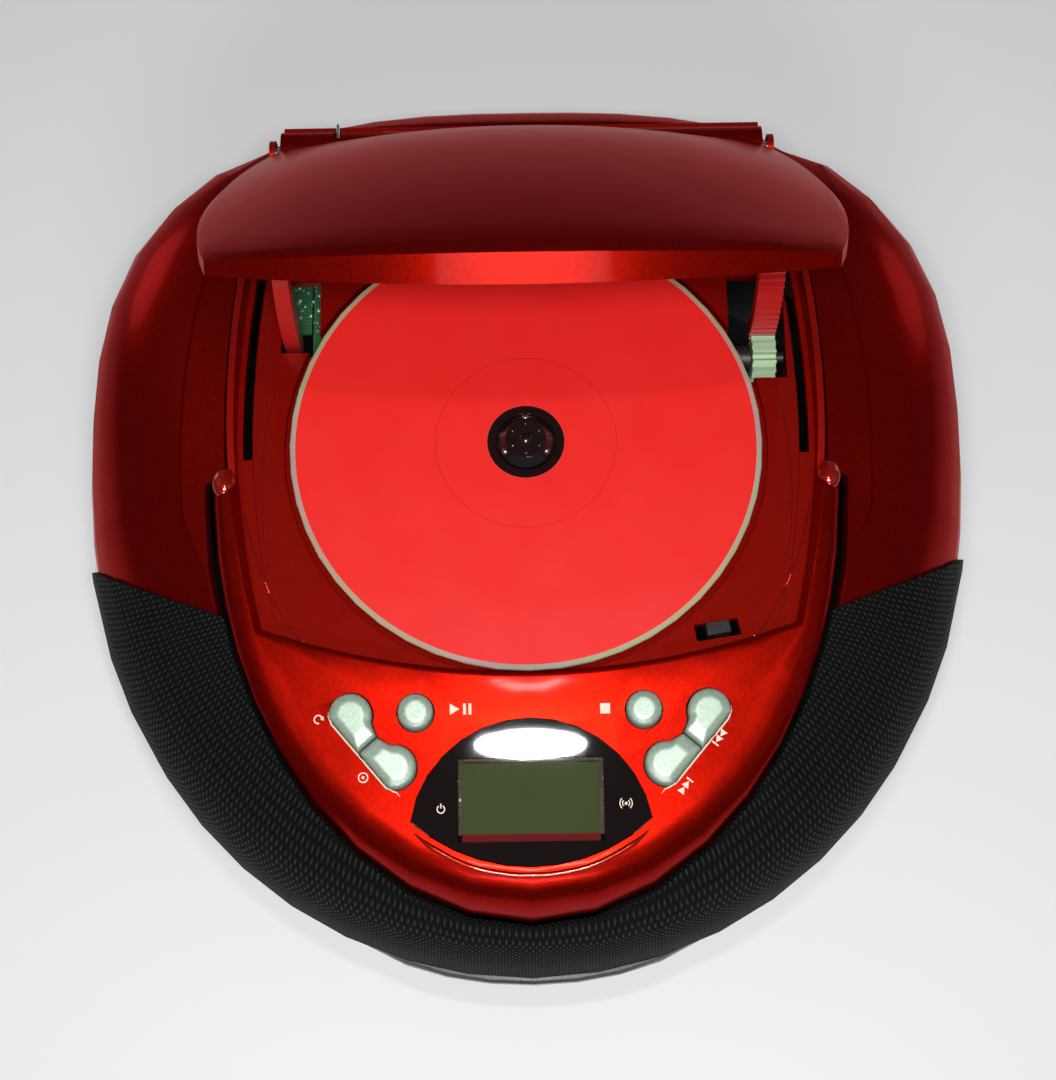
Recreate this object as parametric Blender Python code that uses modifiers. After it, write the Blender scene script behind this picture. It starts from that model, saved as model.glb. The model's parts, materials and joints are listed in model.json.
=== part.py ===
"""A round portable CD player with speakers, radio and a hinged lid, shown with its lid open.

Every length is in metres and is named here once. The frame is +Z up with the front at -Y.
The body's places are counted from the disc's axis, and one empty carries them into the frame
whose origin is the middle of the floor under the whole object.
"""
import bpy
import bmesh
from math import radians, sin, cos, pi, sqrt, atan2, asin, hypot
from mathutils import Vector

MM = 0.001

# Gaps
TOUCH = 0.3 * MM
RUN = 0.35 * MM
OVERRUN = 4 * MM

# The body's outline, counted from the disc's axis
SHOULDER_WIDTH = 39.5 * MM
BODY_NOSE = 8.3 * MM
BODY_BEHIND_HINGE = 22 * MM
FRONT_SQUARENESS = 2.0
REAR_SQUARENESS = 2.8

# Heights above the floor
FOOT_HEIGHT = 3 * MM
SEAM_HEIGHT = 46 * MM
DISC_ABOVE_SEAM = 52 * MM
DOME_RISE = 62 * MM
FRONT_DOME_SQUARENESS = 2.8
REAR_DOME_SQUARENESS = 5.0
DOME_TURN_SHARES = (-0.35, 0.55)

# Walls
CASE_WALL = 2.4 * MM
BOTTOM_WALL = 2.5 * MM
BOTTOM_HEIGHT_SHARES = (1.0, 0.88, 0.62, 0.3, 0.1, 0.0)
BOTTOM_REACH_SHARES = (1.0, 1.0, 0.985, 0.955, 0.905, 0.86)
FLOOR_RING_SHARES = (0.3, 0.65)

# The disc and what turns it
DISC_RADIUS = 60 * MM
DISC_HOLE_RADIUS = 7.5 * MM
DISC_THICKNESS = 1.2 * MM
HUB_PLATTER_RADIUS = 14 * MM
HUB_PLATTER_HEIGHT = 2.2 * MM
HUB_BOSS_RADIUS = 7.1 * MM
HUB_BOSS_RISE = 2.4 * MM
HUB_TOP_RADIUS = 5.2 * MM
SHAFT_RADIUS = 1 * MM
SHAFT_LENGTH = 9 * MM
MOTOR_RADIUS = 12 * MM
MOTOR_HEIGHT = 9 * MM

# The lid's outline, closed, counted from the disc's axis
LID_FRONT_MARGIN = 0.5 * MM
LID_FRONT_CURVE = 11.2 * MM
LID_FRONT_NARROWING = 7.6 * MM
LID_SIDE_MARGIN = 12.6 * MM
LID_WIDEST_BACK = 8 * MM
LID_REAR_NARROWING = 8.6 * MM
LID_SIDE_END_SHARE = 1.2
LID_WALL = 2.2 * MM
LID_EDGE_ABOVE_DISC = 0.3 * MM
LID_SKIRT_MIDDLE = 8 * MM
LID_SKIRT_CORNER = 4.6 * MM
LID_CROWN_ABOVE_DISC = 17.5 * MM
LID_CENTRE_BACK = 14 * MM
LID_ROLL = 1.2 * MM
LID_RING_SHARES = (0.25, 0.5, 0.7, 0.85, 0.97)
LID_FALL_POWER = 2.0
LID_OPEN_ANGLE = radians(50.5)

# The hinge, counted from the disc's axis and top
HINGE_BACK = 82 * MM
HINGE_ABOVE_DISC = 3 * MM
BARREL_RADIUS = 5.5 * MM
PIN_RADIUS = 1.5 * MM
EAR_THICKNESS = 1.6 * MM
EAR_RADIUS = 3.4 * MM
EAR_GAP = 1.1 * MM
BORE_END_GAP = 0.6 * MM
TROUGH_END_WALL = 0.8 * MM
BARREL_INSET = 0.5 * MM
SPRING_PIN_INNER_END = 33 * MM
SPRING_BAY_OUTER = 50 * MM
SPRING_BAY_INNER = 36 * MM
SPRING_WIRE_RADIUS = 0.45 * MM
SPRING_RADIUS = 2.6 * MM
SPRING_BAY_RADIUS = 3.5 * MM
SPRING_CURLS = 6
SPRING_LEG = 7 * MM
SPRING_POINTS_A_CURL = 9

# The lid's liner
LINER_WALL = 1.4 * MM
LINER_DROP_SHARE = 1.15
LINER_GAP = 0.8 * MM
LINER_HINGE_GAP = 1.2 * MM

# The curved arms and the damper gear
ARM_PITCH_RADIUS = 52.5 * MM
ARM_DEPTH = 4.5 * MM
BOSS_FOOT = 1.2 * MM
ARM_WIDTH = 4 * MM
ARM_INSET = 12.6 * MM
RACK_WIDTH = 6.4 * MM
RACK_INSET = 10.8 * MM
ARM_ABOVE_ANGLE = radians(0.8)
ARM_BELOW_ANGLE = radians(12)
TOOTH_MODULE = 0.8 * MM
GEAR_TEETH = 14
TOOTH_TIP_SHARE = 0.13
TOOTH_ROOT_SHARE = 0.27
TOOTH_HEIGHT_SHARE = 0.8
TOOTH_DEPTH_SHARE = 1.1
GEAR_BELOW_DISC = 5 * MM
GEAR_WIDTH = 6 * MM
DAMPER_RADIUS = 3.4 * MM
GEAR_SHAFT_RADIUS = 1.5 * MM

# The deck that the disc lies in
DECK_RIM_BELOW_DISC = 0.1 * MM
DECK_FLOOR_STEP = 1.1 * MM
DECK_THICKNESS = 3.4 * MM
DECK_LEDGE = 3 * MM
DECK_CASE_GAP = 0.4 * MM
DECK_OVERLAP = 2.6 * MM
DECK_CURB_GAP = 0.8 * MM
DECK_CURB_ABOVE_CASE = 0.8 * MM
DECK_CURB_INSET = 0.1 * MM
DECK_CURB_FRONT = 10.8 * MM
BRACKET_THICKNESS = 1.5 * MM
BRACKET_LENGTH = 7 * MM
BRACKET_DROP = 6 * MM
WELL_CLEARANCE = 1.6 * MM
WELL_DEPTH = 4.1 * MM
WELL_FLOOR = 2.2 * MM
WELL_WALL = 2 * MM
ARM_HOLE_INNER_MARGIN = 7 * MM
ARM_HOLE_OUTER_MARGIN = 5.7 * MM
ARM_HOLE_LEFT_MARGIN = 3 * MM
ARM_HOLE_AHEAD = 12.3 * MM
ARM_HOLE_LEFT_AHEAD = 3.5 * MM
ARM_HOLE_BEHIND = 16.5 * MM
SIDE_SLOT_WIDTH = 2.4 * MM
SIDE_SLOT_INSET = 0.6 * MM
SIDE_SLOT_FRONT = 4 * MM
SIDE_SLOT_REAR = 62 * MM
TROUGH_CLEARANCE = 0.6 * MM
TROUGH_WALL = 1.6 * MM
LASER_WINDOW_HALF_WIDTH = 10.5 * MM
LASER_WINDOW_NEAR = 15 * MM
LASER_WINDOW_FAR = 57 * MM
SPINDLE_HOLE_RADIUS = 4 * MM

# The horseshoe bezel with its control panel
BEZEL_ARM_WIDTH = 5.4 * MM
BEZEL_PANEL_DEPTH = 57.7 * MM
BEZEL_END_FRONT = 12 * MM
BEZEL_WALL = 2 * MM
BEZEL_CHAMFER = 1.6 * MM
BEZEL_NOSE_SHARE = 0.45
BEZEL_NOSE_STEPS = (0.0, 0.12, 0.4, 1.0)
BEZEL_SKIRT = 3.2 * MM
BEZEL_ROLL_WIDTH_FRONT = 9.5 * MM
BEZEL_ROLL_WIDTH_ARM = 4.5 * MM
BEZEL_EDGE_ABOVE_CASE = 1.2 * MM
BEZEL_EDGE_GAP = 0.3 * MM
BEZEL_ROUND_END = 5 * MM
BEZEL_LID_GAP = 0.6 * MM
GROOVE = 2 * MM
GROOVE_FRONT = 0.4 * MM
GROOVE_START = 62 * MM
GROOVE_END_FRONT = 10 * MM
BEZEL_INNER_DROP = 0.8 * MM
PANEL_ABOVE_DISC = 4 * MM
PANEL_LENGTH = 58 * MM
PANEL_DROP = 8.7 * MM
PANEL_REACH_SHARES = (0.0, 0.155, 0.293, 0.5, 0.76, 1.0)
PANEL_DROP_SHARES = (0.0, 0.23, 0.437, 0.61, 0.828, 1.0)
ARM_END_RISE = 5.5 * MM

# The display
LENS_HALF_WIDTH = 28.8 * MM
LENS_REAR = 72.2 * MM
LENS_CORNER = 96.4 * MM
LENS_FRONT = 107.4 * MM
LENS_THICKNESS = 1.8 * MM
LENS_PROUD = 0.4 * MM
LCD_HALF_WIDTH = 16.6 * MM
LCD_REAR = 82.7 * MM
LCD_FRONT = 101.6 * MM
LCD_THICKNESS = 2.6 * MM
LCD_SUNK = 0.5 * MM
PANEL_TILT = radians(7.9)
LED_RADIUS = 1.1 * MM
LED_LENGTH = 3.5 * MM
LED_SIDE = 22.4 * MM
LED_FRONT = 98.2 * MM

# The buttons
ROUND_BUTTON_RADIUS = 4.4 * MM
ROUND_BUTTON_SIDE = 27.6 * MM
ROUND_BUTTON_FRONT = 70.6 * MM
BUTTON_PROUD = 1.5 * MM
BUTTON_CROWN = 1.1 * MM
BUTTON_LENGTH = 7 * MM
LOBE_RADIUS = 5.3 * MM
LOBE_OFFSET = 8.2 * MM
LOBE_FLAT = 4.3 * MM
LOBE_WAIST = 1.4 * MM
PAIR_SIDE = 38 * MM
PAIR_FRONT = 77.3 * MM
PAIR_TURN = radians(-49.5)
PAIR_SPLIT = 0.4 * MM
BUTTON_TRAVEL = 1.2 * MM
BOARD_THICKNESS = 1.6 * MM
CONTROL_BOARD_HALF_WIDTH = 47 * MM
CONTROL_BOARD_REAR = 68.5 * MM
CONTROL_BOARD_FRONT = 98 * MM
CONTROL_BOARD_CORNER = 12 * MM

# The lid switch in the deck's corner
SWITCH_SIDE = 46.5 * MM
SWITCH_FRONT = 50.2 * MM
SWITCH_TURN = radians(9)
SWITCH_SLOT_LENGTH = 11 * MM
SWITCH_SLOT_WIDTH = 4.6 * MM
SWITCH_LENGTH = 6 * MM
SWITCH_WIDTH = 3.2 * MM
SWITCH_PROUD = 1.6 * MM
SWITCH_DEPTH = 6 * MM
SWITCH_TRAVEL = 2 * MM

# The grille
GRILLE_WALL = 1.2 * MM
GRILLE_EDGE_SIDE = 75.6 * MM
GRILLE_EDGE_FRONT = 43 * MM
GRILLE_EDGE_SLOPE_SHARE = 0.352
GRILLE_EDGE_LEAN_SHARE = -0.272
GRILLE_EDGE_BELOW_DISC = 8 * MM
CHIN_HALF_ANGLE = radians(20)
CHIN_PROUD = 3 * MM
CHIN_END_PROUD = 1 * MM
CHIN_BELOW_SEAM = 5 * MM

# The speakers
SPEAKER_TURN = radians(-44)
SPEAKER_TILT = radians(35)
SPEAKER_INSET = 17.8 * MM
SPEAKER_HEIGHT = 69.7 * MM
SPEAKER_RADIUS = 28 * MM
SPEAKER_MOUTH_RADIUS = 24 * MM
CONE_CAP_SHARES = (0.7, 0.6)
SPEAKER_NECK_RADIUS = 11 * MM
SPEAKER_DEPTH = 17 * MM
SPEAKER_FLANGE = 2 * MM
SPEAKER_SHEET = 1 * MM
MAGNET_RADIUS = 17 * MM
MAGNET_DEPTH = 9 * MM
SPEAKER_HOLE_RADIUS = 24 * MM
CONE_RIM_SINK = 0.8 * MM
SPEAKER_POST_RADIUS = 1.5 * MM
SPEAKER_POST_ANGLES = (0.0, radians(100), radians(-100))
CONE_CAP_RADIUS = 7 * MM
CONE_CAP_SINK = 10.5 * MM
CONE_CAP_RISE = 3 * MM

# The reading mechanism
CHASSIS_HALF_WIDTH = 33 * MM
CHASSIS_REAR = 17 * MM
CHASSIS_FRONT = 67 * MM
CHASSIS_THICKNESS = 1.6 * MM
CHASSIS_GAP = 1.4 * MM
CHASSIS_POST_RADIUS = 2.5 * MM
CHASSIS_WINDOW_HALF_WIDTH = 24 * MM
CHASSIS_WINDOW_NEAR = 14 * MM
CHASSIS_WINDOW_FAR = 61 * MM
ROD_RADIUS = 1.5 * MM
ROD_SIDE = 19 * MM
ROD_BELOW_CHASSIS = 4.5 * MM
LUG_LENGTH = 3 * MM
LUG_WIDTH = 6 * MM
SLED_HALF_WIDTH = 22.5 * MM
SLED_LENGTH = 13 * MM
SLED_HEIGHT = 7 * MM
SLED_START = 23 * MM
SLED_TRAVEL = 28 * MM
LENS_HOUSING_RADIUS = 5 * MM
LENS_HOUSING_BELOW_DISC = 3.2 * MM
OBJECTIVE_RADIUS = 2.4 * MM
OBJECTIVE_RISE = 1.2 * MM
SLED_MOTOR_RADIUS = 6.5 * MM
SLED_MOTOR_LENGTH = 17 * MM
SLED_MOTOR_SIDE = 32 * MM
SLED_MOTOR_BACK = 9 * MM

# Boards and supply
MAIN_BOARD_OUTER = 56.2 * MM
MAIN_BOARD_INNER = 20 * MM
MAIN_BOARD_FRONT = 22 * MM
MAIN_BOARD_REAR = 70 * MM
MAIN_BOARD_BELOW_DISC = 14 * MM
POST_RADIUS = 2 * MM
POST_INSET = 4 * MM
PANEL_TO_BOARD = 10 * MM
SWITCH_BLOCK_HALF = 3 * MM
SWITCH_BLOCK_GAP = 0.4 * MM
TRANSFORMER_WIDTH = 44 * MM
TRANSFORMER_LENGTH = 34 * MM
TRANSFORMER_HEIGHT = 32 * MM
TRANSFORMER_FRONT = 62 * MM
BATTERY_HALF_WIDTH = 46 * MM
BATTERY_NEAR = 8 * MM
BATTERY_FAR = 74 * MM
BATTERY_HEIGHT = 30 * MM
BATTERY_WALL = 1.6 * MM
DOOR_THICKNESS = 2 * MM
DOOR_AXIS_INSET = 2.1 * MM
DOOR_NOSE = 1.5 * MM
DOOR_GAP = 0.5 * MM

# Controls and sockets round the side, by plan angle from +X
WHEEL_RADIUS = 12 * MM
WHEEL_THICKNESS = 6 * MM
WHEEL_PROUD = 3 * MM
WHEEL_HEIGHT = 34 * MM
WHEEL_RIDGES = 24
WHEEL_RIDGE_DEPTH = 0.5 * MM
WHEEL_BORE_RADIUS = 3 * MM
WHEEL_SLOT_GAP = 0.6 * MM
WHEEL_POST_FOOT = 14 * MM
WHEEL_SHOULDER = 1.3 * MM
VOLUME_ANGLE = radians(14)
TUNING_ANGLE = radians(32)
SLIDER_HEIGHT = 34 * MM
SLIDER_SLOT_LENGTH = 14 * MM
SLIDER_SLOT_WIDTH = 4 * MM
SLIDER_KNOB_LENGTH = 5 * MM
SLIDER_KNOB_WIDTH = 3 * MM
SLIDER_KNOB_PROUD = 1.8 * MM
SLIDER_TRAVEL = 3.5 * MM
SLIDER_FLANGE_LENGTH = 11 * MM
SLIDER_FLANGE_WIDTH = 7 * MM
SLIDER_FLANGE_DEPTH = 1.5 * MM
SLIDER_FLANGE_GAP = 1.8 * MM
FUNCTION_ANGLE = radians(166)
BAND_ANGLE = radians(150)
INLET_ANGLE = radians(118)
INLET_WIDTH = 17 * MM
INLET_HEIGHT = 10 * MM
INLET_DEPTH = 16 * MM
INLET_CENTRE_HEIGHT = 26 * MM
USB_ANGLE = radians(46)
USB_WIDTH = 15 * MM
USB_HEIGHT = 8 * MM
USB_DEPTH = 14 * MM
USB_CENTRE_HEIGHT = 34 * MM
CARD_ANGLE = radians(62)
CARD_WIDTH = 27 * MM
CARD_HEIGHT = 5.5 * MM
CARD_DEPTH = 18 * MM
CARD_CENTRE_HEIGHT = 34 * MM
SOCKET_PROUD = 0.6 * MM
SOCKET_WALL = 1.6 * MM
PRONG_RADIUS = 1.1 * MM
PRONG_SIDE = 4 * MM
TONGUE_HALF_THICKNESS = 0.9 * MM
TONGUE_SIDE_GAP = 1.5 * MM

# The aerial along the back
AERIAL_BACK = 109 * MM
AERIAL_BELOW_SEAM = 7 * MM
AERIAL_PIVOT_SIDE = 50 * MM
AERIAL_TUBE_RADIUS = 3 * MM
AERIAL_LENGTH = 100 * MM
AERIAL_INNER_RADIUS = 1.8 * MM
AERIAL_TIP_RADIUS = 2.6 * MM
AERIAL_TIP_LENGTH = 6 * MM
AERIAL_STROKE = 75 * MM
AERIAL_STEP = 5 * MM
AERIAL_KNUCKLE_RADIUS = 5 * MM
AERIAL_KNUCKLE_DEPTH = 6 * MM
AERIAL_MOUNT_DEPTH = 20 * MM
AERIAL_MOUNT_HALF_WIDTH = 5 * MM
AERIAL_HUB_PROUD = 3 * MM
AERIAL_BORE_START = 8 * MM

# Feet
FOOT_RADIUS = 7 * MM
FOOT_SIDE_SHARE = 0.53
FOOT_FRONT_SHARE = 0.56
FOOT_REAR_SHARE = 0.62

# The shallow step moulded in the shoulders
RECESS_WIDTH = 9 * MM
RECESS_WIDEST_FRONT = 2 * MM
RECESS_FRONT = 18.5 * MM
RECESS_NARROWING = 4 * MM
RECESS_SPAN = 42 * MM
RECESS_DEPTH = 0.8 * MM
RECESS_STEP = 0.6 * MM

# How finely the round forms are cut
AROUND = 48
DOME_LEVELS = 6
ROUND_SEGMENTS = 16
SPEAKER_SEGMENTS = 24
PANEL_STEPS = 4
ROLL_STEPS = 4
CROWN_REACH_SHARES = (0.93, 0.6)
CROWN_RISE_SHARES = (0.55, 1.0)

# Shares of the sizes above, and the distances at which points are welded
DISC_EDGE_SHARE = 0.2
COIL_WIDTH_SHARE = 0.3
COIL_OVERHANG_SHARE = 0.12
COIL_BOTTOM_SHARE = 0.2
COIL_TOP_SHARE = 0.8
CHIN_SOFT_SHARE = 0.2
CHIN_FULL_SHARE = 0.7
OBJECTIVE_SHARES = ((0, 1), (0.6, 0.8), (1, 0.3), (1, 0), (0, 0))
WELD_DISTANCE = 0.001 * MM
MIRROR_WELD_DISTANCE = 0.05 * MM

# What follows from the sizes above
DISC_TOP = SEAM_HEIGHT + DISC_ABOVE_SEAM
AERIAL_HEIGHT = SEAM_HEIGHT - AERIAL_BELOW_SEAM
WELL_RADIUS = DISC_RADIUS + WELL_CLEARANCE
ARM_HOLE_FRONT = HINGE_BACK - ARM_PITCH_RADIUS - ARM_HOLE_AHEAD
ARM_HOLE_LEFT_FRONT = HINGE_BACK - ARM_PITCH_RADIUS - ARM_HOLE_LEFT_AHEAD
ARM_HOLE_REAR = HINGE_BACK - ARM_PITCH_RADIUS + ARM_HOLE_BEHIND
LID_HALF_WIDTH = DISC_RADIUS + LID_SIDE_MARGIN
LID_REAR_HALF_WIDTH = LID_HALF_WIDTH - LID_REAR_NARROWING
LID_CORNER_HALF_WIDTH = LID_HALF_WIDTH - LID_FRONT_NARROWING
LID_FRONT = DISC_RADIUS + LID_FRONT_MARGIN
LID_CORNER_FRONT = LID_FRONT - LID_FRONT_CURVE
ARM_CENTRE = LID_HALF_WIDTH - ARM_INSET
RACK_CENTRE = LID_HALF_WIDTH - RACK_INSET
ARM_HOLE_INNER = ARM_CENTRE - ARM_HOLE_INNER_MARGIN
ARM_HOLE_OUTER = RACK_CENTRE + ARM_HOLE_OUTER_MARGIN
ARM_HOLE_LEFT_OUTER = ARM_CENTRE + ARM_HOLE_LEFT_MARGIN
BEZEL_HALF_WIDTH = LID_HALF_WIDTH + BEZEL_ARM_WIDTH
BEZEL_FRONT = LID_FRONT + BEZEL_PANEL_DEPTH
RECESS_HALF_WIDTH = BEZEL_HALF_WIDTH + RECESS_WIDTH
BODY_HALF_WIDTH = BEZEL_HALF_WIDTH + SHOULDER_WIDTH
BODY_FRONT = BEZEL_FRONT + BODY_NOSE
BODY_REAR = HINGE_BACK + BODY_BEHIND_HINGE
SPEAKER_REACH = BODY_HALF_WIDTH - SPEAKER_INSET
CHIN_FRONT = BODY_FRONT + CHIN_PROUD
DISC_AXIS_Y = (CHIN_FRONT - AERIAL_BACK - AERIAL_TUBE_RADIUS) / 2
HINGE_HEIGHT = DISC_TOP + HINGE_ABOVE_DISC
DECK_RIM_TOP = DISC_TOP - DECK_RIM_BELOW_DISC
DECK_FLOOR_TOP = DECK_RIM_TOP - DECK_FLOOR_STEP
WELL_TOP = DISC_TOP - WELL_DEPTH
WELL_BOTTOM = WELL_TOP - WELL_FLOOR
GEAR_PITCH_RADIUS = GEAR_TEETH * TOOTH_MODULE / 2
GEAR_DROP = HINGE_ABOVE_DISC + GEAR_BELOW_DISC
GEAR_BACK = HINGE_BACK - sqrt((ARM_PITCH_RADIUS + GEAR_PITCH_RADIUS) ** 2 - GEAR_DROP ** 2)
GEAR_RATIO = ARM_PITCH_RADIUS / GEAR_PITCH_RADIUS
CHASSIS_TOP = WELL_BOTTOM - CHASSIS_GAP
ROD_HEIGHT = CHASSIS_TOP - CHASSIS_THICKNESS - ROD_BELOW_CHASSIS
MOTOR_TOP = CHASSIS_TOP - CHASSIS_THICKNESS - TOUCH
DECK_REAR = HINGE_BACK + BARREL_RADIUS + TROUGH_CLEARANCE + TROUGH_WALL
OPENING_REAR = DECK_REAR + 2 * DECK_CASE_GAP
LINER_REAR = HINGE_BACK - BARREL_RADIUS - LINER_HINGE_GAP
GEAR_HEIGHT = DISC_TOP - GEAR_BELOW_DISC
GEAR_LINE_ANGLE = asin(GEAR_DROP / (ARM_PITCH_RADIUS + GEAR_PITCH_RADIUS))
ARM_END_TURN = asin(GROOVE_END_FRONT / (BEZEL_HALF_WIDTH + GROOVE + GROOVE))
LID_SIDE_TURN = asin(GROOVE_END_FRONT / LID_HALF_WIDTH)
UP = Vector((0, 0, 1))
HINGE = Vector((0, HINGE_BACK, HINGE_HEIGHT))
SIDEWAYS = (pi / 2, 0, pi / 2)


def start_scene():
    """Empties the scene and makes the two collections."""
    for old in list(bpy.data.objects):
        bpy.data.objects.remove(old, do_unlink=True)
    parts = bpy.data.collections.new("portable_cd_player")
    cutters = bpy.data.collections.new("cutters")
    for collection in (parts, cutters):
        bpy.context.scene.collection.children.link(collection)
    return parts, cutters


PARTS, CUTTERS = start_scene()
PAINTS = {}


def paint(name, colour, roughness, metallic=0.0):
    """A material with the piece's colour, kept under its name."""
    material = bpy.data.materials.new(name)
    material.use_nodes = True
    shader = material.node_tree.nodes["Principled BSDF"]
    shader.inputs["Base Color"].default_value = (*colour, 1)
    shader.inputs["Roughness"].default_value = roughness
    shader.inputs["Metallic"].default_value = metallic
    material.diffuse_color = (*colour, 1)
    PAINTS[name] = material


def empty(name, place, parent=None, turn=(0, 0, 0)):
    """A frame that pieces hang on, such as a joint's axis."""
    frame = bpy.data.objects.new(name, None)
    PARTS.objects.link(frame)
    frame.empty_display_size = FOOT_RADIUS
    frame.location = place
    frame.rotation_euler = turn
    frame.parent = parent
    return frame


def finish(name, mesh, material, parent, place=(0, 0, 0), turn=(0, 0, 0)):
    """Links a mesh as a named object, smooth where it is round."""
    piece = bpy.data.objects.new(name, mesh)
    PARTS.objects.link(piece)
    if material:
        mesh.materials.append(PAINTS[material])
    piece.location = place
    piece.rotation_euler = turn
    piece.parent = parent
    mesh.shade_smooth()
    mesh.set_sharp_from_angle(angle=radians(35))
    return piece


def as_tool(piece):
    """Puts a cutter out of sight among the cutters."""
    PARTS.objects.unlink(piece)
    CUTTERS.objects.link(piece)
    piece.hide_render = True
    piece.display_type = "WIRE"


def combine(target, other, operation):
    """Cuts with, joins or keeps what lies in another closed solid."""
    as_tool(other)
    step = target.modifiers.new(operation.lower(), "BOOLEAN")
    step.operation = operation
    step.solver = "EXACT"
    step.object = other


def cut(target, other):
    combine(target, other, "DIFFERENCE")


def join(target, other):
    combine(target, other, "UNION")


def keep(target, other):
    combine(target, other, "INTERSECT")


def box(name, low, high, material=None, parent=None, place=(0, 0, 0), turn=(0, 0, 0)):
    """A box between two corners of the parent's frame, or of its own place."""
    low, high = Vector(low), Vector(high)
    shape = bmesh.new()
    bmesh.ops.create_cube(shape, size=1)
    bmesh.ops.scale(shape, vec=high - low, verts=shape.verts)
    bmesh.ops.translate(shape, vec=(low + high) / 2, verts=shape.verts)
    mesh = bpy.data.meshes.new(name)
    shape.to_mesh(mesh)
    shape.free()
    return finish(name, mesh, material, parent, place, turn)


def rod(name, radius, start, end, material=None, parent=None, segments=ROUND_SEGMENTS, tip=None):
    """A round bar from one point to another."""
    start, end = Vector(start), Vector(end)
    shape = bmesh.new()
    bmesh.ops.create_cone(
        shape, cap_ends=True, segments=segments, radius1=radius,
        radius2=radius if tip is None else tip, depth=(end - start).length)
    mesh = bpy.data.meshes.new(name)
    shape.to_mesh(mesh)
    shape.free()
    piece = finish(name, mesh, material, parent, (start + end) / 2)
    piece.rotation_mode = "QUATERNION"
    piece.rotation_quaternion = UP.rotation_difference(end - start)
    return piece


def turned(name, profile, material, parent, place=(0, 0, 0), turn=(0, 0, 0), steps=ROUND_SEGMENTS,
           closed=False):
    """A profile of radius and height, top to bottom down its outer side, turned about Z."""
    count = len(profile)
    links = [(n, n + 1) for n in range(count - 1)]
    if closed:
        links.append((count - 1, 0))
    mesh = bpy.data.meshes.new(name)
    mesh.from_pydata([(reach, 0, height) for reach, height in profile], links, [])
    piece = finish(name, mesh, material, parent, place, turn)
    screw = piece.modifiers.new("turn", "SCREW")
    screw.axis = "Z"
    screw.steps = steps
    screw.render_steps = steps
    screw.use_merge_vertices = True
    screw.merge_threshold = WELD_DISTANCE
    screw.use_smooth_shade = True
    return piece


def slab(name, outline, low, high, material=None, parent=None, place=(0, 0, 0), turn=(0, 0, 0)):
    """A flat outline raised between two heights, as a welded mesh."""
    curve = bpy.data.curves.new(name, "CURVE")
    curve.dimensions = "2D"
    curve.fill_mode = "BOTH"
    curve.extrude = (high - low) / 2
    line = curve.splines.new("POLY")
    line.points.add(len(outline) - 1)
    for point, (x, y) in zip(line.points, outline):
        point.co = (x, y, 0, 1)
    line.use_cyclic_u = True
    mesh = welded(name, curve)
    shape = bmesh.new()
    shape.from_mesh(mesh)
    bmesh.ops.dissolve_limit(shape, angle_limit=radians(0.05), verts=shape.verts, edges=shape.edges)
    bmesh.ops.translate(shape, vec=(0, 0, (low + high) / 2), verts=shape.verts)
    shape.to_mesh(mesh)
    shape.free()
    return finish(name, mesh, material, parent, place, turn)


def welded(name, curve):
    """A curve's evaluated mesh with its caps welded on; the curve is removed."""
    guide = bpy.data.objects.new(name + "_guide", curve)
    PARTS.objects.link(guide)
    bpy.context.view_layer.update()
    seen = guide.evaluated_get(bpy.context.evaluated_depsgraph_get())
    mesh = bpy.data.meshes.new_from_object(seen)
    bpy.data.objects.remove(guide, do_unlink=True)
    shape = bmesh.new()
    shape.from_mesh(mesh)
    bmesh.ops.remove_doubles(shape, verts=shape.verts, dist=WELD_DISTANCE)
    bmesh.ops.recalc_face_normals(shape, faces=shape.faces)
    shape.to_mesh(mesh)
    shape.free()
    mesh.name = name
    return mesh


def loft(name, rings, material, parent, round_trip=True, pole=None, flip=False, shift=(0, 0, 0)):
    """An open skin over rings of points, from the inner ring out; flip turns its faces over."""
    shape = bmesh.new()
    rows = [[shape.verts.new(Vector(point) - Vector(shift)) for point in ring] for ring in rings]
    count = len(rows[0])
    last = count if round_trip else count - 1
    for inner, outer in zip(rows, rows[1:]):
        for n in range(last):
            m = (n + 1) % count
            corners = [inner[n], outer[n], outer[m], inner[m]]
            shape.faces.new(corners[::-1] if flip else corners)
    if pole is not None:
        tip = shape.verts.new(Vector(pole) - Vector(shift))
        for n in range(last):
            corners = [tip, rows[0][n], rows[0][(n + 1) % count]]
            shape.faces.new(corners[::-1] if flip else corners)
    mesh = bpy.data.meshes.new(name)
    shape.to_mesh(mesh)
    shape.free()
    return finish(name, mesh, material, parent)


def thicken(piece, wall, side=-1):
    """Gives a skin its wall, inwards at -1 and outwards at 1."""
    solid = piece.modifiers.new("wall", "SOLIDIFY")
    solid.thickness = wall
    solid.offset = side
    solid.use_even_offset = True


def lerp(a, b, share):
    return a + (b - a) * share


def clamp(value):
    return min(1.0, max(0.0, value))


def ease(value):
    """A smooth step from 0 to 1."""
    value = clamp(value)
    return value * value * (3 - 2 * value)


def table(value, places, heights):
    """Reads a row of heights at a place between its given places."""
    for (p, q), (a, b) in zip(zip(places, places[1:]), zip(heights, heights[1:])):
        if value <= q:
            return lerp(a, b, clamp((value - p) / (q - p)))
    return heights[-1]


def body_reach(angle):
    """How far the body's outline lies from the disc's axis at a plan angle."""
    reach = BODY_REAR if sin(angle) > 0 else BODY_FRONT
    power = REAR_SQUARENESS if sin(angle) > 0 else FRONT_SQUARENESS
    total = (abs(cos(angle)) / BODY_HALF_WIDTH) ** power + (abs(sin(angle)) / reach) ** power
    return total ** (-1 / power)


def dome_squareness(angle):
    """The top is rounder in front and flatter behind."""
    start, end = DOME_TURN_SHARES
    return lerp(FRONT_DOME_SQUARENESS, REAR_DOME_SQUARENESS, ease((sin(angle) - start) / (end - start)))


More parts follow.
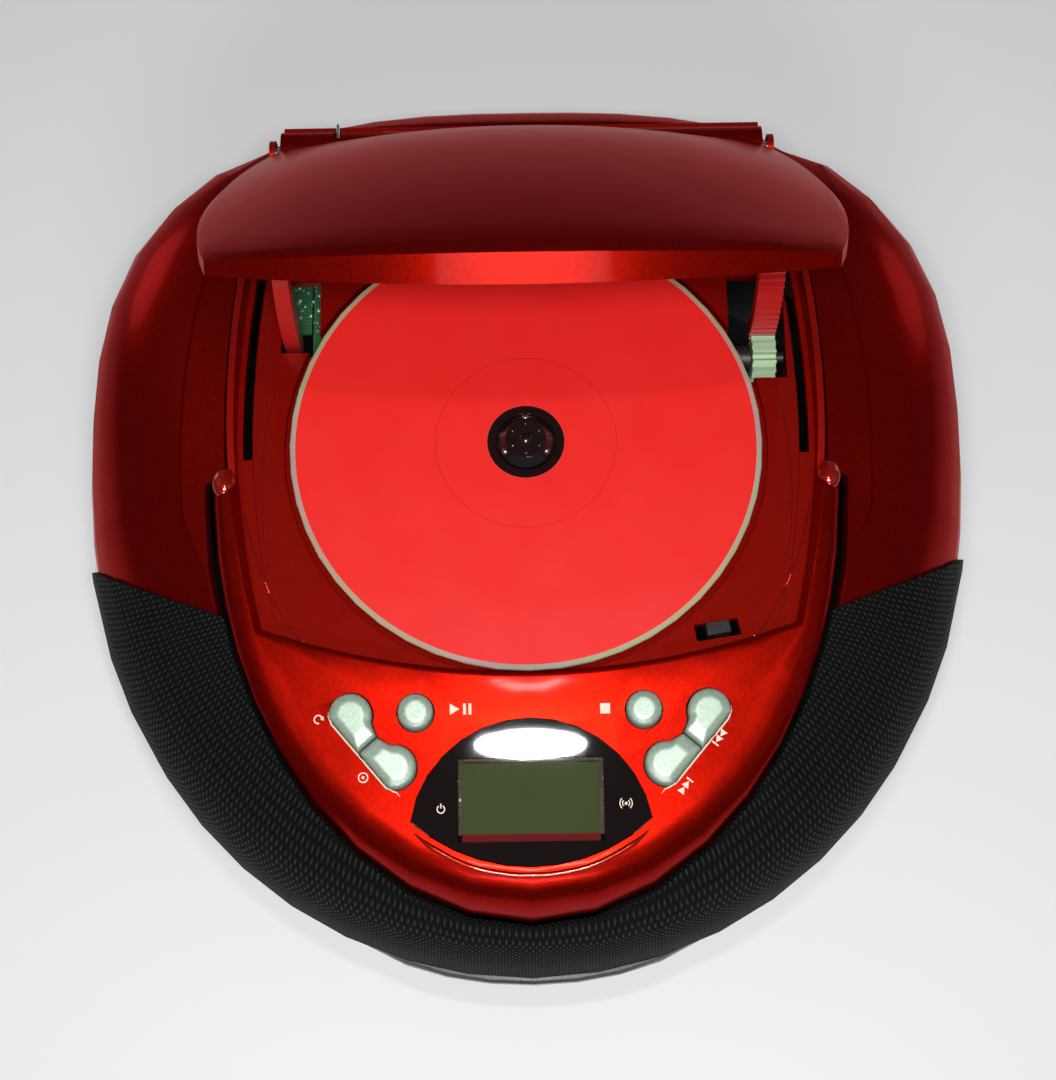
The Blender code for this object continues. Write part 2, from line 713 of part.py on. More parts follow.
def dome_height(reach, angle):
    """The top's height above the floor at a place given by reach and plan angle."""
    share = clamp(reach / body_reach(angle))
    power = dome_squareness(angle)
    return SEAM_HEIGHT + DOME_RISE * (1 - share ** power) ** (1 / power)


def wall_share(height):
    """How far out the bottom's wall stands at a height, as a share of the outline."""
    share = (height - FOOT_HEIGHT) / (SEAM_HEIGHT - FOOT_HEIGHT)
    return table(1 - share, [1 - s for s in BOTTOM_HEIGHT_SHARES], BOTTOM_REACH_SHARES)


def at(reach, angle, height, back=0.0):
    return Vector((reach * cos(angle), reach * sin(angle) + back, height))


def lid_front_line(x):
    """The closed lid's front edge, as a distance in front of the disc's axis."""
    return LID_FRONT - (LID_FRONT - LID_CORNER_FRONT) * (x / LID_CORNER_HALF_WIDTH) ** 2


def lid_side(y):
    """The closed lid's half width at a distance behind the disc's axis."""
    if y > LID_WIDEST_BACK:
        share = (y - LID_WIDEST_BACK) / (HINGE_BACK - LID_WIDEST_BACK)
        narrow = LID_HALF_WIDTH - LID_REAR_HALF_WIDTH
    else:
        share = (LID_WIDEST_BACK - y) / (LID_WIDEST_BACK + LID_CORNER_FRONT)
        narrow = LID_HALF_WIDTH - LID_CORNER_HALF_WIDTH
    return LID_HALF_WIDTH - narrow * min(share, LID_SIDE_END_SHARE) ** 2


def in_lid(x, y, grow=0.0, rear=HINGE_BACK):
    """Whether a point lies inside the closed lid's outline, grown by a margin."""
    return -(lid_front_line(x) + grow) < y < rear and abs(x) < lid_side(y) + grow


def in_bezel(x, y, grow=0.0):
    """Whether a point lies inside the horseshoe's outer ellipse."""
    across = x / (BEZEL_HALF_WIDTH + grow)
    along = (y + BEZEL_END_FRONT) / (BEZEL_FRONT + grow - BEZEL_END_FRONT)
    return across ** 2 + along ** 2 < 1


def groove_at(y):
    """The gap round the horseshoe: a hair in front, an open groove beside its arms."""
    return lerp(GROOVE_FRONT, GROOVE, clamp((y + GROOVE_START) / (GROOVE_START - BEZEL_END_FRONT) * 2))


def in_opening(x, y, grow=0.0):
    """Whether a point lies in the top's opening."""
    if y < -GROOVE_END_FRONT:
        return in_bezel(x, y, groove_at(y) + grow)
    return in_lid(x, y, DECK_OVERLAP + DECK_CASE_GAP + grow, OPENING_REAR + grow)


def reach_of(inside, angle, back=0.0, **margins):
    """How far a ray from the axis runs inside an outline, found by halving."""
    near, far = 0.0, BODY_FRONT * 2
    for _ in range(40):
        middle = (near + far) / 2
        if inside(middle * cos(angle), middle * sin(angle) + back, **margins):
            near = middle
        else:
            far = middle
    return near


def angles_round(count, special=()):
    """Plan angles all the way round, with the angles of sharp corners among them."""
    step = 2 * pi / count
    chosen = [angle for angle in special]
    for n in range(count):
        angle = -pi + n * step
        if all(abs(angle - other) > step * 0.4 for other in special):
            chosen.append(angle)
    return sorted(chosen)


def outline_of(inside, count=AROUND, back=0.0, special=(), **margins):
    """A closed outline's points round the axis."""
    points = []
    for angle in angles_round(count, special):
        reach = reach_of(inside, angle, back, **margins)
        points.append((reach * cos(angle), reach * sin(angle) + back))
    return points


def lid_corner_angles(back=0.0):
    """The plan angles of the lid's four corners, seen from a point on the middle line."""
    front = atan2(-LID_CORNER_FRONT - back, LID_CORNER_HALF_WIDTH)
    rear = atan2(HINGE_BACK - back, LID_REAR_HALF_WIDTH)
    return (front, -pi - front, rear, pi - rear)


def side_frame(name, angle, height, parent):
    """An empty on the bottom's wall: its +Y points out, and its X runs along the wall."""
    small = radians(0.5)
    share = wall_share(height)
    here = at(body_reach(angle) * share, angle, height)
    ahead = at(body_reach(angle + small) * share, angle + small, height)
    before = at(body_reach(angle - small) * share, angle - small, height)
    along = ahead - before
    return empty(name, here, parent, (0, 0, atan2(along.y, along.x) + pi))


def lid_height(x, y):
    """The closed lid's top over a point of the plan: a low dome that falls to the skirt all round."""
    beside = min(1.0, abs(x) / LID_CORNER_HALF_WIDTH)
    edge = DISC_TOP + LID_SKIRT_MIDDLE - (LID_SKIRT_MIDDLE - LID_SKIRT_CORNER) * beside ** 2
    front = -lid_front_line(x)
    middle = (HINGE_BACK + front) / 2
    across = clamp(abs(x) / lid_side(y))
    along = clamp(abs(y - middle) / (HINGE_BACK - middle))
    swell = (1 - across ** LID_FALL_POWER) * (1 - along ** LID_FALL_POWER)
    return edge + (DISC_TOP + LID_CROWN_ABOVE_DISC - edge) * swell


def lid_point(reach, angle, sink=0.0):
    """A point of the closed lid's top, found from the lid's centre and sunk by a depth."""
    place = at(reach, angle, 0, LID_CENTRE_BACK)
    return Vector((place.x, place.y, lid_height(place.x, place.y) - sink))


def panel_height(x, y):
    """The horseshoe's top before its outer edge rolls down."""
    ahead = -lid_front_line(x) - y
    if ahead < 0:
        rise = ARM_END_RISE * clamp(-ahead / (LID_CORNER_FRONT - BEZEL_END_FRONT))
        return DISC_TOP + PANEL_ABOVE_DISC + rise
    drop = PANEL_DROP * table(ahead / PANEL_LENGTH, PANEL_REACH_SHARES, PANEL_DROP_SHARES)
    return DISC_TOP + PANEL_ABOVE_DISC - drop


def beam(name, sections, material=None, parent=None, shift=(0, 0, 0)):
    """A closed bar over a row of closed sections, capped at both ends."""
    shape = bmesh.new()
    rows = [[shape.verts.new(Vector(point) - Vector(shift)) for point in section] for section in sections]
    for one, two in zip(rows, rows[1:]):
        for n in range(len(one)):
            m = (n + 1) % len(one)
            shape.faces.new([one[n], one[m], two[m], two[n]])
    shape.faces.new(rows[0][::-1])
    shape.faces.new(rows[-1])
    bmesh.ops.recalc_face_normals(shape, faces=shape.faces)
    mesh = bpy.data.meshes.new(name)
    shape.to_mesh(mesh)
    shape.free()
    return finish(name, mesh, material, parent)


def pad(name, outline, centre, bottom, top, crown, slope, material, parent):
    """A button: an upright outline with a rounded top that follows the panel's slope."""
    shape = bmesh.new()
    middle = Vector(centre)

    def ring(share, height, sloped):
        points = []
        for x, y in outline:
            flat = middle.lerp(Vector((x, y)), share)
            lift = slope * (flat.y - middle.y) if sloped else 0
            points.append(shape.verts.new((flat.x, flat.y, height + lift)))
        return points

    rows = [ring(1, bottom, False), ring(1, top, True)]
    for share, rise in zip(CROWN_REACH_SHARES, CROWN_RISE_SHARES):
        rows.append(ring(share, top + crown * rise, True))
    count = len(outline)
    for low, high in zip(rows, rows[1:]):
        for n in range(count):
            m = (n + 1) % count
            shape.faces.new([low[n], low[m], high[m], high[n]])
    shape.faces.new(rows[0])
    shape.faces.new(rows[-1])
    bmesh.ops.recalc_face_normals(shape, faces=shape.faces)
    bmesh.ops.translate(shape, vec=(-middle.x, -middle.y, -top), verts=shape.verts)
    mesh = bpy.data.meshes.new(name)
    shape.to_mesh(mesh)
    shape.free()
    return finish(name, mesh, material, parent, (middle.x, middle.y, top))


def in_recess(x, y):
    """Whether a point lies in the shallow step of the shoulders."""
    side = RECESS_HALF_WIDTH - RECESS_NARROWING * ((y + RECESS_WIDEST_FRONT) / RECESS_SPAN) ** 2
    return -RECESS_FRONT < y < OPENING_REAR and abs(x) < side


def case_angles():
    """The plan angles of the top case, with those of its opening's corners."""
    rear = atan2(OPENING_REAR, LID_REAR_HALF_WIDTH)
    recess = atan2(-RECESS_FRONT, RECESS_HALF_WIDTH)
    special = []
    for turn in (-ARM_END_TURN, -LID_SIDE_TURN, rear, recess):
        special += [turn, pi - turn if turn > 0 else -pi - turn]
    return angles_round(AROUND, special)


def case_rings(angle):
    """The top case's points at one plan angle, from its opening out to the seam."""
    nominal = reach_of(in_opening, angle)
    opening = nominal + CASE_WALL * shell_normal(angle, nominal).dot(at(1, angle, 0))
    recess = reach_of(in_recess, angle)
    sink = RECESS_DEPTH
    if recess < opening + 2 * RECESS_STEP:
        recess = opening + RECESS_STEP
        sink = 0
    points = [(opening, sink), (recess, sink), (recess + RECESS_STEP, 0)]
    points = [at(reach, angle, dome_height(reach, angle) - drop) for reach, drop in points]
    power = dome_squareness(angle)
    edge = body_reach(angle)
    start = asin(((recess + RECESS_STEP) / edge) ** (power / 2))
    for level in range(1, DOME_LEVELS + 1):
        turn = start + (pi / 2 - start) * level / DOME_LEVELS
        reach = edge * sin(turn) ** (2 / power)
        points.append(at(reach, angle, SEAM_HEIGHT + DOME_RISE * max(0.0, cos(turn)) ** (2 / power)))
    return points


def shell_normal(angle, reach):
    """The top's outward direction at a place."""
    edge = body_reach(angle)
    power = dome_squareness(angle)
    share = min(1.0, reach / edge)
    small = radians(0.2)
    along = at(body_reach(angle + small), angle + small, 0) - at(body_reach(angle - small), angle - small,
                                                                 0)
    out = along.cross(UP).normalized()
    if out.dot(at(1, angle, 0)) < 0:
        out = -out
    fall = share ** (power - 1) * (DOME_RISE / edge)
    rise = max(0.0, 1 - share ** power) ** ((power - 1) / power)
    return (out * fall + UP * rise).normalized()


def spot_on_side(frame, x, y, z):
    """A point of a side frame in the disc's frame."""
    return frame.matrix_local @ Vector((x, y, z))


def make_paints():
    paint("red_metallic", (0.42, 0.012, 0.008), 0.28, 0.55)
    paint("red_inner", (0.30, 0.008, 0.006), 0.4, 0.35)
    paint("black_case", (0.02, 0.02, 0.024), 0.5)
    paint("grille_black", (0.012, 0.012, 0.014), 0.45, 0.4)
    paint("trim_grey", (0.08, 0.09, 0.1), 0.35, 0.3)
    paint("mint_silver", (0.55, 0.62, 0.57), 0.35, 0.35)
    paint("smoke_lens", (0.02, 0.006, 0.006), 0.08)
    paint("lcd_green", (0.06, 0.085, 0.035), 0.2)
    paint("lamp_red", (0.4, 0.02, 0.02), 0.3)
    paint("lamp_green", (0.05, 0.3, 0.05), 0.3)
    paint("board_green", (0.01, 0.08, 0.03), 0.5)
    paint("board_brown", (0.25, 0.13, 0.05), 0.6)
    paint("steel", (0.6, 0.6, 0.6), 0.3, 0.9)
    paint("dark_steel", (0.25, 0.25, 0.26), 0.4, 0.8)
    paint("black_plastic", (0.015, 0.015, 0.016), 0.5)
    paint("paper_cone", (0.03, 0.03, 0.03), 0.8)
    paint("rubber", (0.02, 0.02, 0.02), 0.85)
    paint("gear_green", (0.42, 0.6, 0.36), 0.5)
    paint("arm_red", (0.45, 0.02, 0.015), 0.45)
    paint("disc_red", (0.75, 0.02, 0.015), 0.25, 0.1)
    paint("lens_blue", (0.05, 0.08, 0.2), 0.08)
    paint("wheel_silver", (0.45, 0.46, 0.47), 0.35, 0.7)


def make_case(base):
    """The top and bottom case with what is cut in them."""
    columns = [case_rings(angle) for angle in case_angles()]
    rings = [list(ring) for ring in zip(*columns)]
    top = loft("top_case", rings, "red_metallic", base)
    thicken(top, CASE_WALL)
    for side in (1, -1):
        hole = rod("speaker_hole", SPEAKER_HOLE_RADIUS, (0, 0, 0), (0, 0, CASE_WALL * 20), None,
                   speaker_frame(side, base))
        cut(top, hole)
        for turn in SPEAKER_POST_ANGLES:
            join(top, speaker_post(speaker_frame(side, base), turn))

    around = angles_round(AROUND)
    floor = BOTTOM_REACH_SHARES[-1]
    rings = []
    for share in FLOOR_RING_SHARES:
        rings.append([at(body_reach(angle) * floor * share, angle, FOOT_HEIGHT) for angle in around])
    top_of_bottom = SEAM_HEIGHT - TOUCH
    for level, reach in reversed(list(zip(BOTTOM_HEIGHT_SHARES, BOTTOM_REACH_SHARES))):
        height = lerp(FOOT_HEIGHT, top_of_bottom, level)
        rings.append([at(body_reach(angle) * reach, angle, height) for angle in around])
    bottom = loft("bottom_case", rings, "black_case", base, pole=(0, 0, FOOT_HEIGHT), flip=True)
    thicken(bottom, BOTTOM_WALL)
    cut(bottom, box("battery_opening", (-BATTERY_HALF_WIDTH, BATTERY_NEAR, 0),
                    (BATTERY_HALF_WIDTH, BATTERY_FAR, FOOT_HEIGHT + BOTTOM_WALL + OVERRUN), None, base))
    half = AERIAL_MOUNT_HALF_WIDTH + TOUCH
    mouth = box("aerial_mouth",
                (-AERIAL_PIVOT_SIDE - half, AERIAL_BACK - AERIAL_KNUCKLE_DEPTH - AERIAL_MOUNT_DEPTH,
                 AERIAL_HEIGHT - half),
                (-AERIAL_PIVOT_SIDE + half, AERIAL_BACK, AERIAL_HEIGHT + half), None, base)
    cut(bottom, mouth)
    return top, bottom


def speaker_frame(side, base):
    """The frame of a speaker: its middle behind the grille, with +Z out of the mouth."""
    name = "speaker_axis_right" if side > 0 else "speaker_axis_left"
    old = bpy.data.objects.get(name)
    if old:
        return old
    turn = SPEAKER_TURN if side > 0 else -pi - SPEAKER_TURN
    here = at(SPEAKER_REACH, turn, SPEAKER_HEIGHT)
    return empty(name, here, base, (0, pi / 2 - SPEAKER_TILT, turn))


def speaker_post(frame, turn):
    """A post from the top's inner side down to a speaker's flange, at an angle round its axis."""
    bpy.context.view_layer.update()
    beside = (SPEAKER_MOUTH_RADIUS + SPEAKER_RADIUS) / 2
    start = Vector((beside * cos(turn), beside * sin(turn), TOUCH))
    near, far = 0.0, SPEAKER_REACH
    for _ in range(40):
        middle = (near + far) / 2
        spot = frame.matrix_local @ (start + UP * middle)
        angle, reach = atan2(spot.y, spot.x), hypot(spot.x, spot.y)
        spot = spot + shell_normal(angle, min(reach, body_reach(angle))) * CASE_WALL / 2
        angle, reach = atan2(spot.y, spot.x), hypot(spot.x, spot.y)
        if reach < body_reach(angle) and spot.z < dome_height(reach, angle):
            near = middle
        else:
            far = middle
    return rod("speaker_post", SPEAKER_POST_RADIUS, start, start + UP * near, None, frame, 12)


def make_grille(base):
    """The perforated cover over the front left and right, and the trim under its middle."""
    quarter = [angle for angle in case_angles() if -pi / 2 - radians(0.1) < angle < radians(3)]
    columns = []
    for angle in quarter:
        inner = reach_of(in_bezel, angle, grow=GROOVE_FRONT + TOUCH)
        points = case_rings(angle)[2:]
        points.insert(0, at(inner, angle, dome_height(inner, angle)))
        column = []
        for point in points:
            reach = min(hypot(point.x, point.y), body_reach(angle))
            column.append(point + shell_normal(angle, reach) * TOUCH)
        if abs(angle + pi / 2) < radians(0.1):
            for point in column:
                point.x = 0
        columns.append(column)
    rings = [list(ring) for ring in zip(*columns)]
    grille = loft("speaker_grille", rings, "grille_black", base, round_trip=False)
    shape = bmesh.new()
    shape.from_mesh(grille.data)
    edge = Vector((GRILLE_EDGE_SIDE, -GRILLE_EDGE_FRONT, DISC_TOP - GRILLE_EDGE_BELOW_DISC))
    normal = Vector((-GRILLE_EDGE_SLOPE_SHARE, 1, -GRILLE_EDGE_LEAN_SHARE))
    bmesh.ops.bisect_plane(
        shape, geom=shape.verts[:] + shape.edges[:] + shape.faces[:], plane_co=edge,
        plane_no=normal, clear_outer=True)
    shape.to_mesh(grille.data)
    shape.free()
    mirror = grille.modifiers.new("other_side", "MIRROR")
    mirror.merge_threshold = MIRROR_WELD_DISTANCE
    thicken(grille, GRILLE_WALL, 1)

    sections = []
    steps = 8
    for n in range(steps + 1):
        share = 2 * n / steps - 1
        angle = -pi / 2 + CHIN_HALF_ANGLE * share
        inner = body_reach(angle) + TOUCH
        outer = body_reach(angle) + lerp(CHIN_PROUD, CHIN_END_PROUD, share ** 4)
        high = SEAM_HEIGHT - TOUCH
        low = SEAM_HEIGHT - CHIN_BELOW_SEAM
        soft = (high - low) * CHIN_SOFT_SHARE
        bulge = lerp(inner, outer, CHIN_FULL_SHARE)
        sections.append([at(inner, angle, low), at(bulge, angle, low), at(outer, angle, low + soft),
                         at(outer, angle, high - soft), at(bulge, angle, high), at(inner, angle, high)])
    beam("chin_trim", sections, "trim_grey", base)


def bezel_angles():
    """Plan angles from the left arm's end round the front to the right arm's end."""
    ends = [asin((BEZEL_END_FRONT + BEZEL_ROUND_END * step) / BEZEL_HALF_WIDTH) for step in BEZEL_NOSE_STEPS]
    right = [-angle for angle in ends]
    left = [-pi - angle for angle in right]
    limit = ends[-1] + radians(2.5)
    middle = [-pi + n * 2 * pi / AROUND for n in range(AROUND)]
    middle = [angle for angle in middle if -pi + limit < angle < -limit]
    corner = atan2(-LID_CORNER_FRONT, LID_CORNER_HALF_WIDTH)
    special = (corner, -pi - corner)
    middle = [angle for angle in middle if all(abs(angle - other) > radians(2) for other in special)]
    return sorted(left + middle + list(special) + right)


def bezel_column(angle):
    """The horseshoe's points at one plan angle, from the disc's side to its outer edge."""
    inner = reach_of(in_lid, angle, grow=BEZEL_LID_GAP)
    outer = reach_of(in_bezel, angle)
    roll = lerp(BEZEL_ROLL_WIDTH_ARM, BEZEL_ROLL_WIDTH_FRONT, ease(-sin(angle)))
    roll = min(roll, outer - inner - BEZEL_CHAMFER - TOUCH)
    seat = DECK_RIM_TOP + TOUCH

    def top(reach):
        return panel_height(reach * cos(angle), reach * sin(angle))

    plan = [(inner, seat), (inner, top(inner) - BEZEL_INNER_DROP)]
    start, end = inner + BEZEL_CHAMFER, outer - roll
    for n in range(PANEL_STEPS + 1):
        reach = lerp(start, end, n / PANEL_STEPS)
        plan.append((reach, top(reach)))
    case = dome_height(outer, angle)
    edge = case + BEZEL_EDGE_ABOVE_CASE
    for n in range(1, ROLL_STEPS + 1):
        turn = pi / 2 * n / ROLL_STEPS
        plan.append((end + roll * sin(turn), edge + (top(end) - edge) * cos(turn)))
    open_share = (groove_at(outer * sin(angle)) - GROOVE_FRONT) / (GROOVE - GROOVE_FRONT)
    plan.append((outer, lerp(case + BEZEL_EDGE_GAP, case - BEZEL_SKIRT, open_share)))
    return plan


def make_bezel(base):
    """The horseshoe round the front of the bay, with the holes of its controls."""
    angles = bezel_angles()
    columns = []
    for angle in angles:
        plan = bezel_column(angle)
        (near, low), (far, foot) = plan[0], plan[-1]
        past_end = -BEZEL_HALF_WIDTH * sin(angle) - BEZEL_END_FRONT
        share = clamp(past_end / BEZEL_ROUND_END)
        height = lerp(BEZEL_NOSE_SHARE, 1, sqrt(1 - (1 - share) ** 2))
        column = []
        for reach, top in plan:
            floor = lerp(low, foot, (reach - near) / (far - near))
            column.append(at(reach, angle, lerp(floor, top, height)))
        columns.append(column)
    for index in (0, -1):
        plan = bezel_column(angles[index])
        (near, low), (far, foot) = plan[0], plan[-1]
        end = [at(reach, angles[index], lerp(low, foot, (reach - near) / (far - near))) for reach,
               _ in plan]
        if index == 0:
            columns.insert(0, end)
        else:
            columns.append(end)
    rings = [list(ring) for ring in zip(*columns)]
    bezel = loft("front_bezel", rings, "red_metallic", base, round_trip=False)
    shape = bmesh.new()
    shape.from_mesh(bezel.data)
    bmesh.ops.remove_doubles(shape, verts=shape.verts, dist=WELD_DISTANCE)
    shape.to_mesh(bezel.data)
    shape.free()
    thicken(bezel, BEZEL_WALL)
    return bezel


def lens_outline(grow=0.0):
    """The display lens's outline, counted from its middle."""
    middle = (LENS_REAR + LENS_FRONT) / 2
    points = []
    for apex, steps in ((-LENS_REAR + middle, 14), (-LENS_FRONT + middle, 10)):
        corner = -LENS_CORNER + middle
        rise = apex - corner
        radius = (LENS_HALF_WIDTH ** 2 + rise ** 2) / (2 * abs(rise))
        centre = apex - radius if rise > 0 else apex + radius
        half = atan2(LENS_HALF_WIDTH, (corner - centre) if rise > 0 else (centre - corner))
        for n in range(steps):
            turn = half - 2 * half * n / steps
            if rise > 0:
                points.append(((radius + grow) * sin(turn), centre + (radius + grow) * cos(turn)))
            else:
                points.append((-(radius + grow) * sin(turn), centre - (radius + grow) * cos(turn)))
    return points


def make_display(base, bezel):
    """The tilted lens with the display and the two lamps behind it."""
    rear = panel_height(0, -LENS_REAR)
    front = panel_height(0, -LENS_FRONT)
    frame = empty("display_frame", (0, -(LENS_REAR + LENS_FRONT) / 2, (rear + front) / 2), base,
                  (PANEL_TILT, 0, 0))
    under = LENS_PROUD - LENS_THICKNESS
    slab("display_lens", lens_outline(), under, LENS_PROUD, "smoke_lens", frame)
    cut(bezel, slab("lens_hole", lens_outline(TOUCH), -OVERRUN * 2, OVERRUN * 2, None, frame))
    middle = (LENS_REAR + LENS_FRONT) / 2
    top = under - LCD_SUNK
    box("lcd_panel", (-LCD_HALF_WIDTH, middle - LCD_FRONT, top - LCD_THICKNESS),
        (LCD_HALF_WIDTH, middle - LCD_REAR, top), "lcd_green", frame)
    for name, side, colour in (("power_led", -1, "lamp_red"), ("stereo_led", 1, "lamp_green")):
        x, y = side * LED_SIDE, middle - LED_FRONT
        rod(name, LED_RADIUS, (x, y, under - TOUCH - LED_LENGTH), (x, y, under - TOUCH), colour, frame, 16)
    return frame


def round_outline(x, y, radius, steps=ROUND_SEGMENTS):
    return [(x + radius * cos(2 * pi * n / steps),
             y + radius * sin(2 * pi * n / steps)) for n in range(steps)]


def pair_half(grow, split):
    """One key of a double button along its own line, with the flat edge below."""
    radius = LOBE_RADIUS + grow
    flat = -LOBE_FLAT - grow
    points = [(split / 2, flat)]
    start = asin(flat / radius)
    end = radians(150)
    steps = 12
    for n in range(steps + 1):
        turn = lerp(start, end, n / steps)
        points.append((LOBE_OFFSET + radius * cos(turn), radius * sin(turn)))
    points.append((split / 2, LOBE_WAIST + grow))
    return points


def pair_line(side, end, grow, split):
    """A key's outline on the panel: side -1 left or 1 right, end 1 front or -1 rear."""
    points = []
    for along, across in pair_half(grow, split):
        points.append(pair_spot(side, along * end, across))
    return points


def pair_spot(side, along, across):
    """A place of a double button's own frame, on the panel."""
    u = Vector((cos(PAIR_TURN), sin(PAIR_TURN)))
    v = Vector((-u.y, u.x))
    spot = Vector((-PAIR_SIDE, -PAIR_FRONT)) + u * along + v * across
    return (-side * spot.x, spot.y)


def make_buttons(base, bezel):
    """The six buttons, the holes that they sit in and what each presses on."""
    slope = sin(PANEL_TILT)
    seats = []
    rounds = (("button_play", -1), ("button_stop", 1))
    for name, side in rounds:
        x, y = side * ROUND_BUTTON_SIDE, -ROUND_BUTTON_FRONT
        height = panel_height(x, y)
        pad(name, round_outline(x, y, ROUND_BUTTON_RADIUS), (x, y), height - BUTTON_LENGTH,
            height + BUTTON_PROUD, BUTTON_CROWN, slope, "mint_silver", base)
        hole = slab("button_hole", round_outline(x, y, ROUND_BUTTON_RADIUS + RUN),
                    DISC_TOP - OVERRUN * 4, DISC_TOP + OVERRUN * 4, None, base)
        cut(bezel, hole)
        seats.append((x, y, height - BUTTON_LENGTH))
    keys = (("button_mode", -1, -1), ("button_source", -1, 1), ("button_previous", 1, -1),
            ("button_next", 1, 1))
    for name, side, end in keys:
        points = pair_line(side, end, 0.0, PAIR_SPLIT)
        centre = pair_spot(side, LOBE_OFFSET * end, 0.0)
        height = panel_height(*centre)
        pad(name, points, centre, height - BUTTON_LENGTH, height + BUTTON_PROUD, BUTTON_CROWN, slope,
            "mint_silver", base)
        seats.append((*centre, height - BUTTON_LENGTH))
    for side in (-1, 1):
        one = [point for point in pair_line(side, 1, RUN, 0.0)]
        other = [point for point in pair_line(side, -1, RUN, 0.0)]
        hole = slab("pair_hole", one + other[-2:0:-1], DISC_TOP - OVERRUN * 4, DISC_TOP + OVERRUN * 4,
                    None, base)
        cut(bezel, hole)
    return seats


def make_boards(base, seats):
    """The control board under the panel and the main board under the left hole."""
    middle = (CONTROL_BOARD_REAR + CONTROL_BOARD_FRONT) / 2
    half = (CONTROL_BOARD_FRONT - CONTROL_BOARD_REAR) / 2
    height = (panel_height(0, -LENS_REAR) + panel_height(0, -LENS_FRONT)) / 2 - PANEL_TO_BOARD
    frame = empty("control_board_frame", (0, -middle, height), base, (PANEL_TILT, 0, 0))
    side = CONTROL_BOARD_HALF_WIDTH
    inner = side - CONTROL_BOARD_CORNER
    outline = [(-side, half), (-side, CONTROL_BOARD_CORNER - half), (-inner, -half), (inner, -half),
               (side, CONTROL_BOARD_CORNER - half), (side, half)]
    board = slab("control_board", outline, -BOARD_THICKNESS, 0, "board_brown", frame)
    for x, y, bottom in seats:
        sheet = height + (y + middle) * sin(PANEL_TILT) - BOARD_THICKNESS / 2
        block = box("switch_block", (x - SWITCH_BLOCK_HALF, y - SWITCH_BLOCK_HALF, sheet),
                    (x + SWITCH_BLOCK_HALF, y + SWITCH_BLOCK_HALF,
                     bottom - BUTTON_TRAVEL - SWITCH_BLOCK_GAP), None, base)
        join(board, block)
    top = DISC_TOP - MAIN_BOARD_BELOW_DISC
    box("main_board", (-MAIN_BOARD_OUTER, MAIN_BOARD_FRONT, top - BOARD_THICKNESS),
        (-MAIN_BOARD_INNER, MAIN_BOARD_REAR, top), "board_green", base)


def ring_beam(name, angles, inner, outer, low, high, parent):
    """A bar that follows two outlines between two heights, given as functions of the plan angle."""
    sections = []
    for angle in angles:
        sections.append([
            at(inner(angle), angle, low(angle)), at(outer(angle), angle, low(angle)),
            at(outer(angle), angle, high(angle)), at(inner(angle), angle, high(angle))])
    return beam(name, sections, None, parent)


